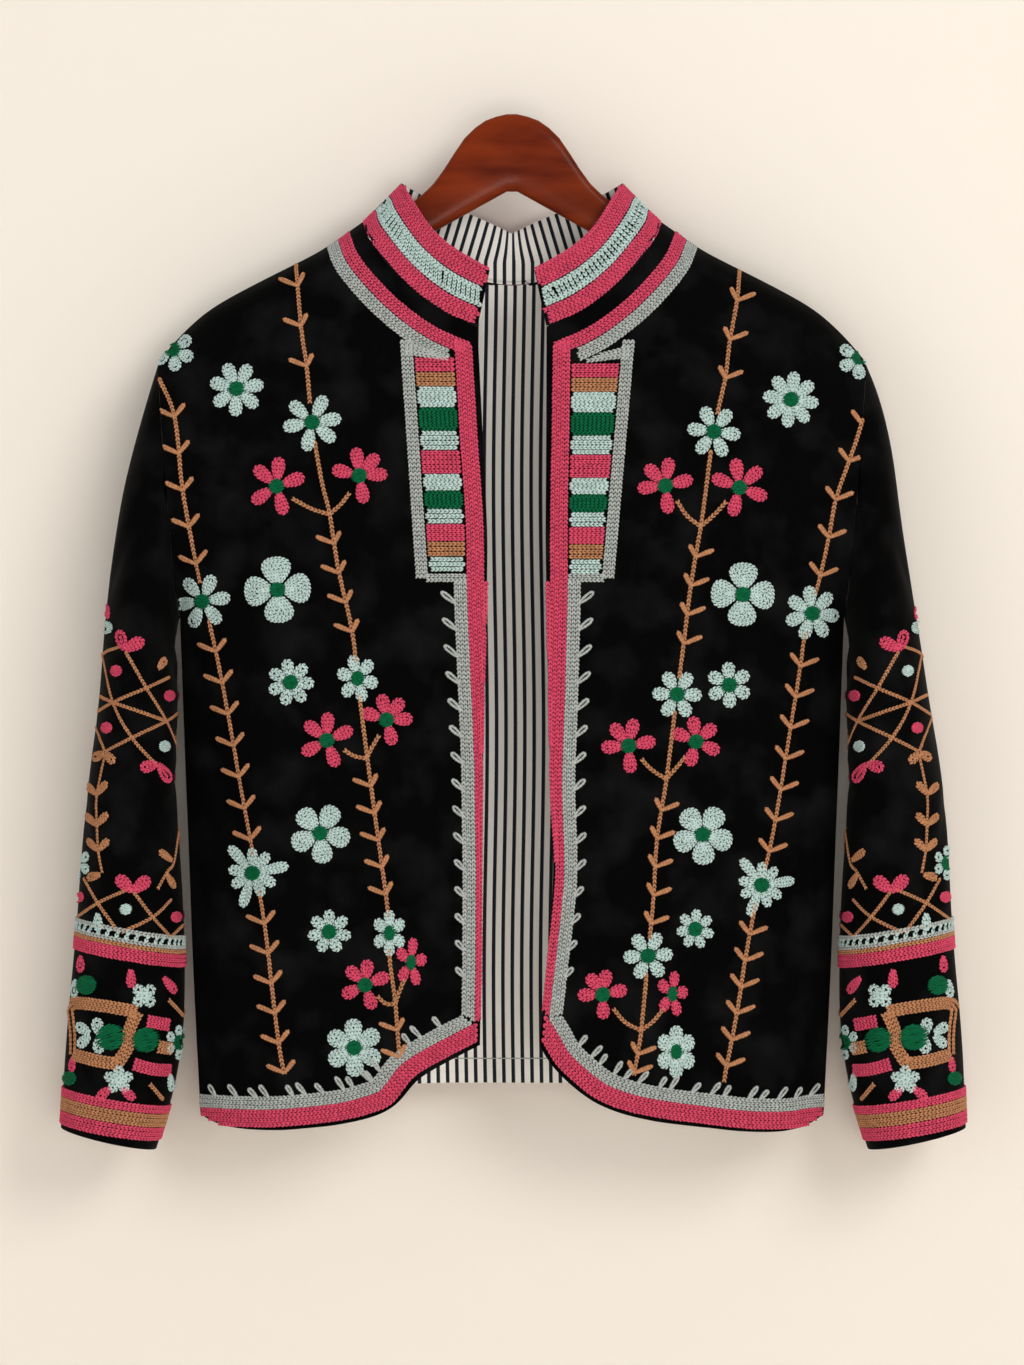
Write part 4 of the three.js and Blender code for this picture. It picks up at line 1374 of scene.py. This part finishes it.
# %% Sleeve motifs
SLEEVE_CORDS = [
    [(290, 403.5), (274.5, 431), (259.5, 456), (249, 481.5)], [(293, 400), (306, 405.5), (312, 417.5)],
    [(307, 405.5), (299, 442), (285, 468.5), (266, 490)], [(257, 423), (275, 431.5), (299, 442), (315, 452)],
    [(315, 452), (305, 479)], [(259.5, 456), (279, 449), (299, 442), (314, 435)],
    [(249, 448.5), (259.5, 456), (285, 468.5), (305, 479)],
    [(305, 481.5), (311, 511.5), (311, 532.5), (310, 553), (307, 570)],
    [(250, 535.5), (254, 562), (259, 569), (266, 582)],
    [(255.5, 589.5), (269.6, 603), (293, 614.7)], [(285.5, 582), (269.6, 603), (256.3, 618)],
    [(287.8, 582), (310.5, 592.5), (327.8, 604.5)], [(321, 573.8), (310.5, 592.5), (294.8, 614.7)],
    [(246, 608), (256.3, 618)],
]
# Petals and leaves: from a foot, towards an angle, so long and so wide
SLEEVE_LEAVES = rows(
    ("colour", "at", "angle", "length", "width"),
    ("pink", (290.5, 403), 150, 17, 10.5),
    ("pink", (290.5, 403), 75, 16, 10),
    ("tan", (266, 417), 128, 11, 7),
    ("pink", (266, 488), 235, 17, 10),
    ("pink", (266, 488), 345, 14, 10),
    ("tan", (305, 480), 225, 11, 8),
    ("tan", (305, 480), 335, 11, 8),
    ("pink", (302, 379), 75, 11, 7),
    ("tan", (311, 511), 130, 13, 6.4),
    ("tan", (311, 511), 42, 12.5, 6.4),
    ("tan", (311, 534), 132, 13, 6.4),
    ("tan", (311, 534), 42, 12.5, 6.4),
    ("tan", (310, 553), 134, 12.5, 6.4),
    ("tan", (310, 553), 44, 12.5, 6.4),
    ("tan", (308, 571), 345, 12, 7),
    ("tan", (255, 561), 38, 14, 6.4),
    ("tan", (260, 570), 238, 14, 6.4),
    ("pink", (284.6, 584), 140, 17, 11),
    ("pink", (284.6, 584), 45, 17, 11),
    ("aqua", (310.5, 600), 270, 14, 8),
    ("pink", (286, 642), 268, 15, 8),
    ("pink", (323, 632), 272, 13, 8),
    ("pink", (262, 648), 230, 16, 8),
    ("aqua", (327, 650), 275, 14, 8),
    ("pink", (293, 731), 222, 14, 8),
    ("pink", (301, 731), 320, 14, 8),
    ("pink", (329, 708), 275, 12, 7),
    ("aqua", (257, 720), 265, 14, 7),
    ("aqua", (309, 692), 78, 14, 10),
    ("aqua", (309, 692), 275, 14, 10),
    ("aqua", (316, 690), 30, 13, 9),
    ("aqua", (316, 692), 320, 13, 9),
)
SLEEVE_DOTS = rows(
    ("colour", "at", "radius"),
    ("aqua", (296, 418.5), 4),
    ("pink", (258, 437), 4),
    ("pink", (303, 461), 4),
    ("aqua", (261.5, 475), 4),
    ("aqua", (303, 386), 4.5),
    ("aqua", (289.5, 597), 4),
    ("pink", (252.8, 603), 4),
    ("pink", (324, 588), 4),
    ("green", (318.6, 654), 7),
    ("green", (301, 693), 9.5),
    ("green", (275, 695), 9),
    ("green", (331, 724), 5),
)
SLEEVE_FLOWERS = rows(
    FLOWER,
    ("aqua", (325.5, 562.5), 13, 6, 90, None, 0.8),
    ("aqua", (276, 662), 10.5, 4, 45, 10, 1.0, False, False, 0.5),
    ("aqua", (295, 725), 11.5, 5, 90, 9, 1.0, False, False, 0.5),
    ("aqua", (250.5, 697), 13, 6, 90, None, 0.8),
)
# Short blocks and bars of the cuff: lines of several rows side by side
SLEEVE_BARS = rows(
    ("colour", "rows", "line"),
    ("tan", 3, [(281, 674), (304, 670), (327, 667.5), (332, 672)]),
    ("tan", 2, [(331, 671), (329, 690), (329, 706)]),
    ("tan", 3, [(329, 706), (310, 711), (295, 713)]),
    ("tan", 3, [(296, 713), (288, 700), (287, 688), (281, 674)]),
    ("pink", 3, [(257, 684), (274, 681)]),
    ("tan", 3, [(255, 702), (266, 700)]),
    ("pink", 3, [(256, 718), (270, 717), (284, 713)]),
    ("tan", 1, [(246, 678), (258, 665)]),
    ("tan", 1, [(262, 740), (272, 728)]),
)


def mirrored(places, sign):
    """The plan's places on one side, as a list of flat places."""
    return [(sign * x, drop) for x, drop in np.reshape(places, (-1, 2))]


def sleeve_motifs(side, face):
    """The whole plan of cords, bars, leaves, dots and flowers, on one half of one sleeve."""
    area, sign = side + "_sleeve", SIDES[side]

    def facing(angle):
        """The plan's angle as it is on this side."""
        return angle if sign > 0 else 180 - angle

    for cord in SLEEVE_CORDS:
        draw(area, "tan", lowered(curve(mirrored(cord, sign))), face, width=2.5, step=2.8)
    for bar in SLEEVE_BARS:
        line = lowered(curve(mirrored(bar["line"], sign)))
        for k in range(bar["rows"]):
            draw(area, bar["colour"], beside(line, 3.1 * (k + 0.5 - bar["rows"] / 2), (0, 0)), face)
    for spec in SLEEVE_LEAVES:
        at = lowered(mirrored(spec["at"], sign)[0])
        petal(area, spec["colour"], at, facing(spec["angle"]), 0.5, spec["length"], spec["width"], face)
    for k, spec in enumerate(SLEEVE_DOTS):
        colour = "pink" if side == "left" and k == 0 else spec["colour"]
        disc(area, colour, lowered(mirrored(spec["at"], sign)[0]), spec["radius"], face)
    for spec in SLEEVE_FLOWERS:
        flower(area, {**spec, "at": mirrored(spec["at"], sign)[0], "turn": facing(spec["turn"])}, face)


for side in SIDES:
    for face in ("front", "back"):
        sleeve_motifs(side, face)

# %% Rings round the cuffs
CUFF_DROP = 777.5  # drop of the cuff's edge at the sleeve's middle
CUFF_SLOPE = 0.175  # the edge drops towards the body by this share
CUFF_RINGS = [
    ("pink", (6.0, 9.4, 12.8)),
    ("tan", (16.4, 19.8, 23.2)),
    ("pink", (26.8, 30.0)),
    ("pink", (138.2, 141.5, 144.7)),
    ("tan", (148.1,)),
    ("grey", (151.5, 158.9)),
]
LACE = {"low": 152.1, "high": 158.5, "gap": 7.5, "lean": 3.0}
RING_TURNS = 120


def sleeve_middle(side, drop):
    """Where the sleeve's middle is across, at one drop."""
    points = points_of(shells["sleeve_" + side])
    near = np.abs(-points[:, 2] / MM - drop) < 8
    return (points[near, 0].min() + points[near, 0].max()) / 2 / MM


def ring_places(side, above):
    """Points and normals round the sleeve at a height above the cuff's slanting edge."""
    sign = SIDES[side]
    middle = sleeve_middle(side, CUFF_DROP - above - 8)
    points, normals = [], []
    for turn in np.linspace(0, 2 * math.pi, RING_TURNS + 1):
        x, y = math.cos(turn) * 90, math.sin(turn) * 90
        tilt = -sign * CUFF_SLOPE
        origin = Vector((middle + x, y, -(CUFF_DROP - above + x * tilt))) * MM
        way = Vector((-x, -y, x * tilt)).normalized()
        hit, normal, _, _ = TREES[side + "_sleeve"].ray_cast(origin, way)
        if hit is None:
            continue
        points.append(hit)
        normals.append(normal if normal.dot(way) < 0 else -normal)
    return np.array(points), np.array(normals)


for side in SIDES:
    area = side + "_sleeve"
    for colour, heights in CUFF_RINGS:
        for above in heights:
            sew(area, colour, *ring_places(side, above))
    low, high = ring_places(side, LACE["low"]), ring_places(side, LACE["high"])
    lace_bars(area, "aqua", low, high, LACE["gap"], LACE["lean"])

# %% [markdown]
# ## Cloth, yarn and wood
#
# The velvet drinks almost all light, with a very faint sheen and a cloudy sheen painted into its colour
# where
# the nap is brushed. The lining has woven stripes, so they follow the cloth's own width rather than the
# room:
# every point of a lining carries its distance across, and the stripes are drawn from that number.

# %% Finishes
STRIPE = 7.2  # mm from stripe to stripe
STRIPE_LEAN = 0.3  # how much the collar's stripes lean to the middle
STRIPE_FOLD = 110  # the drop where they begin to lean
YARN_COLOURS = {
    "pink": (0.62, 0.068, 0.14, 1),
    "aqua": (0.47, 0.61, 0.59, 1),
    "grey": (0.405, 0.44, 0.425, 1),
    "tan": (0.46, 0.215, 0.105, 1),
    "green": (0.0, 0.12, 0.045, 1),
    "black": (0.004, 0.004, 0.0045, 1),
}


def noise(tree, scale, detail, stretch=(1, 1, 1)):
    """A noise texture on the object's own coordinates; returns its value output."""
    place = tree.nodes.new("ShaderNodeTexCoord")
    mapping = tree.nodes.new("ShaderNodeMapping")
    texture = tree.nodes.new("ShaderNodeTexNoise")
    mapping.inputs["Scale"].default_value = stretch
    texture.inputs["Scale"].default_value = scale
    texture.inputs["Detail"].default_value = detail
    tree.links.new(place.outputs["Object"], mapping.inputs["Vector"])
    tree.links.new(mapping.outputs["Vector"], texture.inputs["Vector"])
    return texture.outputs["Fac"]


def ramp(tree, value, stops):
    """Colours along a value; stops is a list of (position, colour)."""
    node = tree.nodes.new("ShaderNodeValToRGB")
    elements = node.color_ramp.elements
    while len(elements) < len(stops):
        elements.new(0.5)
    for element, (position, colour) in zip(elements, stops):
        element.position = position
        element.color = colour
    tree.links.new(value, node.inputs["Fac"])
    return node.outputs["Color"]


def bump(tree, shader, value, strength, distance):
    """Tiny relief on a surface, from a value."""
    node = tree.nodes.new("ShaderNodeBump")
    node.inputs["Strength"].default_value = strength
    node.inputs["Distance"].default_value = distance
    tree.links.new(value, node.inputs["Height"])
    tree.links.new(node.outputs["Normal"], shader.inputs["Normal"])


def velvet_look(tree, shader):
    """Nearly black, with a painted sheen of cloudy brushed patches in its colour and a very faint real
    sheen.
    """
    painted_sheen_cloud = noise(tree, 26, 3)
    # painted sheen: lighter clouds in the base colour where the nap is brushed
    stops = [(0.46, (0.0010, 0.0010, 0.0011, 1)), (0.80, (0.0075, 0.0075, 0.0080, 1))]
    tree.links.new(ramp(tree, painted_sheen_cloud, stops), shader.inputs["Base Color"])
    bump(tree, shader, noise(tree, 900, 2), 0.25, 0.3 * MM)
    shader.inputs["Specular IOR Level"].default_value = 0.03
    shader.inputs["Sheen Weight"].default_value = 0.02
    shader.inputs["Sheen Roughness"].default_value = 0.4


def lining_look(tree, shader):
    """Woven stripes, counted off along the cloth's own width."""
    nodes, links = tree.nodes, tree.links
    across = nodes.new("ShaderNodeAttribute")
    across.attribute_name = "across"
    share = nodes.new("ShaderNodeMath")
    share.operation = "FRACT"
    count = nodes.new("ShaderNodeMath")
    count.operation = "DIVIDE"
    count.inputs[1].default_value = STRIPE
    links.new(across.outputs["Fac"], count.inputs[0])
    links.new(count.outputs[0], share.inputs[0])
    pale, dark = (0.86, 0.84, 0.80, 1), (0.010, 0.012, 0.022, 1)
    stops = [(0.0, dark), (0.36, dark), (0.43, pale), (0.95, pale)]
    links.new(ramp(tree, share.outputs[0], stops), shader.inputs["Base Color"])
    bump(tree, shader, noise(tree, 700, 2), 0.2, 0.2 * MM)
    shader.inputs["Specular IOR Level"].default_value = 0.2


def wood_look(tree, shader):
    """Long red-brown grain under a thin coat of varnish."""
    grain = noise(tree, 34, 5, stretch=(0.35, 1, 1.6))
    stops = [(0.3, (0.085, 0.0085, 0.002, 1)), (0.72, (0.235, 0.032, 0.005, 1))]
    tree.links.new(ramp(tree, grain, stops), shader.inputs["Base Color"])
    shader.inputs["Specular IOR Level"].default_value = 0.05
    shader.inputs["Coat Weight"].default_value = 0.08
    shader.inputs["Coat Roughness"].default_value = 0.16


def yarn_look(tree, shader, colour):
    """The yarn's colour, darkened or lightened stitch by stitch, with painted shade on each stitch's
    underside.
    """
    tone_and_shade = tree.nodes.new("ShaderNodeAttribute")
    tone_and_shade.attribute_name = "tone_and_shade"
    scale = tree.nodes.new("ShaderNodeVectorMath")
    scale.operation = "SCALE"
    scale.inputs[0].default_value = colour[:3]
    # the attribute holds each stitch's random tone and its painted shade
    tree.links.new(tone_and_shade.outputs["Fac"], scale.inputs["Scale"])
    tree.links.new(scale.outputs["Vector"], shader.inputs["Base Color"])
    bump(tree, shader, noise(tree, 1400, 2), 0.4, 0.2 * MM)
    shader.inputs["Specular IOR Level"].default_value = 0.15


velvet_look(velvet_tree, velvet_shader)
lining_look(lining_tree, lining_shader)
wood_look(wood_tree, wood_shader)

# %% Lining faces
RIM_START, RIM_REACH = 0.2 * MM, 4 * MM
SEAM_DEPTH = 2 * MM  # no lining this close to the shoulder seams and the side seams


def inner_faces(node):
    """For each face of a shell, whether it looks at the wearer."""
    shell = shells[node]
    count = len(shell.data.polygons)
    centres, normals = np.empty(count * 3), np.empty(count * 3)
    shell.data.polygons.foreach_get("center", centres)
    shell.data.polygons.foreach_get("normal", normals)
    centres, normals = centres.reshape(-1, 3), normals.reshape(-1, 3)
    if node.startswith("sleeve"):
        middle = middle_of(centres[:, 0], centres[:, 2], 20)
        away = centres * (1, 1, 0) - middle[:, None] * (1, 0, 0)
    elif node == "collar":
        away = centres * (1, 1, 0) - np.array([0, NECK_CENTRE_Y, 0])
    else:
        away = np.tile([0, -1.0 if node.startswith("front") else 1.0, 0.15], (count, 1))
    inner = (normals * unit(away)).sum(1) < -0.35
    if node in ("front_left", "front_right", "back"):
        inner &= np.abs(centres[:, 1]) > SEAM_DEPTH
    walls = tree_of(node)
    for k in np.flatnonzero(inner):
        # a rim face looks inwards too, but the next wall behind it is farther than the cloth is thick
        start = Vector(centres[k] - normals[k] * RIM_START)
        inner[k] = walls.ray_cast(start, Vector(-normals[k]), RIM_REACH)[0] is not None
    return inner


def spread_across(points, node):
    """Distance across the cloth, in mm: along x with a slight wobble on a panel or a sleeve, and leaning to
    the middle on the collar.
    """
    x, y = points[:, 0] / MM, points[:, 1] / MM
    if node.startswith("collar"):
        height = np.clip(points[:, 2] / MM + STRIPE_FOLD, 0, None)
        return x + STRIPE_LEAN * height * np.tanh(x / 9)
    return x + 1.2 * np.sin(points[:, 2] / MM / 60)


for node, shell in shells.items():
    layer = shell.data.attributes.new("across", "FLOAT", "POINT")
    layer.data.foreach_set("value", spread_across(points_of(shell), node).astype(np.float32))
    if "lining" not in node:
        shell.data.materials.append(lining)
        shell.data.polygons.foreach_set("material_index", inner_faces(node).astype(np.int32))
        shell.data.update()

# %% Make the yarn meshes
yarns = {}
for colour, value in YARN_COLOURS.items():
    yarns[colour], tree, shader = plain_material(colour + "_yarn", value, 0.85)
    yarn_look(tree, shader, value)
rng = np.random.default_rng(STITCH_SEED)
total = 0
for (area, colour), tables in sorted(sewn.items()):
    piece = link_mesh(f"{area}_{colour}_stitches", yarn_mesh(f"{area}_{colour}", tables, rng))
    piece.data.materials.append(yarns[colour])
    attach(piece, "root")
    total += len(piece.data.polygons)
    print(piece.name, len(piece.data.polygons), "triangles")
print("stitch triangles", total)

# %% [markdown]
# ## The cut of the cloth
#
# Every piece of cloth was flat once. Its cut size is stated here, width and length in metres, with the
# area of its outline, and the yarn sewn on it goes with it.

# %% Sheets
CUTS = rows(
    ("node", "flat", "area", "rests_on", "yarn"),
    ("front_left", (0.265, 0.70), 0.152, ["hanger"], ["left_front"]),
    ("front_right", (0.265, 0.70), 0.151, ["hanger"], ["right_front"]),
    ("back", (0.55, 0.69), 0.33, ["hanger"], ["back", "neck"]),
    ("sleeve_left", (0.26, 0.61), 0.132, ["front_left"], ["left_sleeve"]),
    ("sleeve_right", (0.26, 0.61), 0.132, ["front_right"], ["right_sleeve"]),
    ("collar", (0.37, 0.065), 0.0222, ["back"], ["collar"]),
    ("back_lining", (0.52, 0.67), 0.297, ["hanger"], ["lining"]),
    ("collar_lining", (0.35, 0.055), 0.0174, ["back"], []),
)
velvet_area = sum(cut["area"] for cut in CUTS if "lining" not in cut["node"])
lining_area = sum(cut["area"] for cut in CUTS if "lining" in cut["node"])
print("cut of the velvet", round(velvet_area, 3), "m2, of the lining", round(lining_area, 3), "m2")
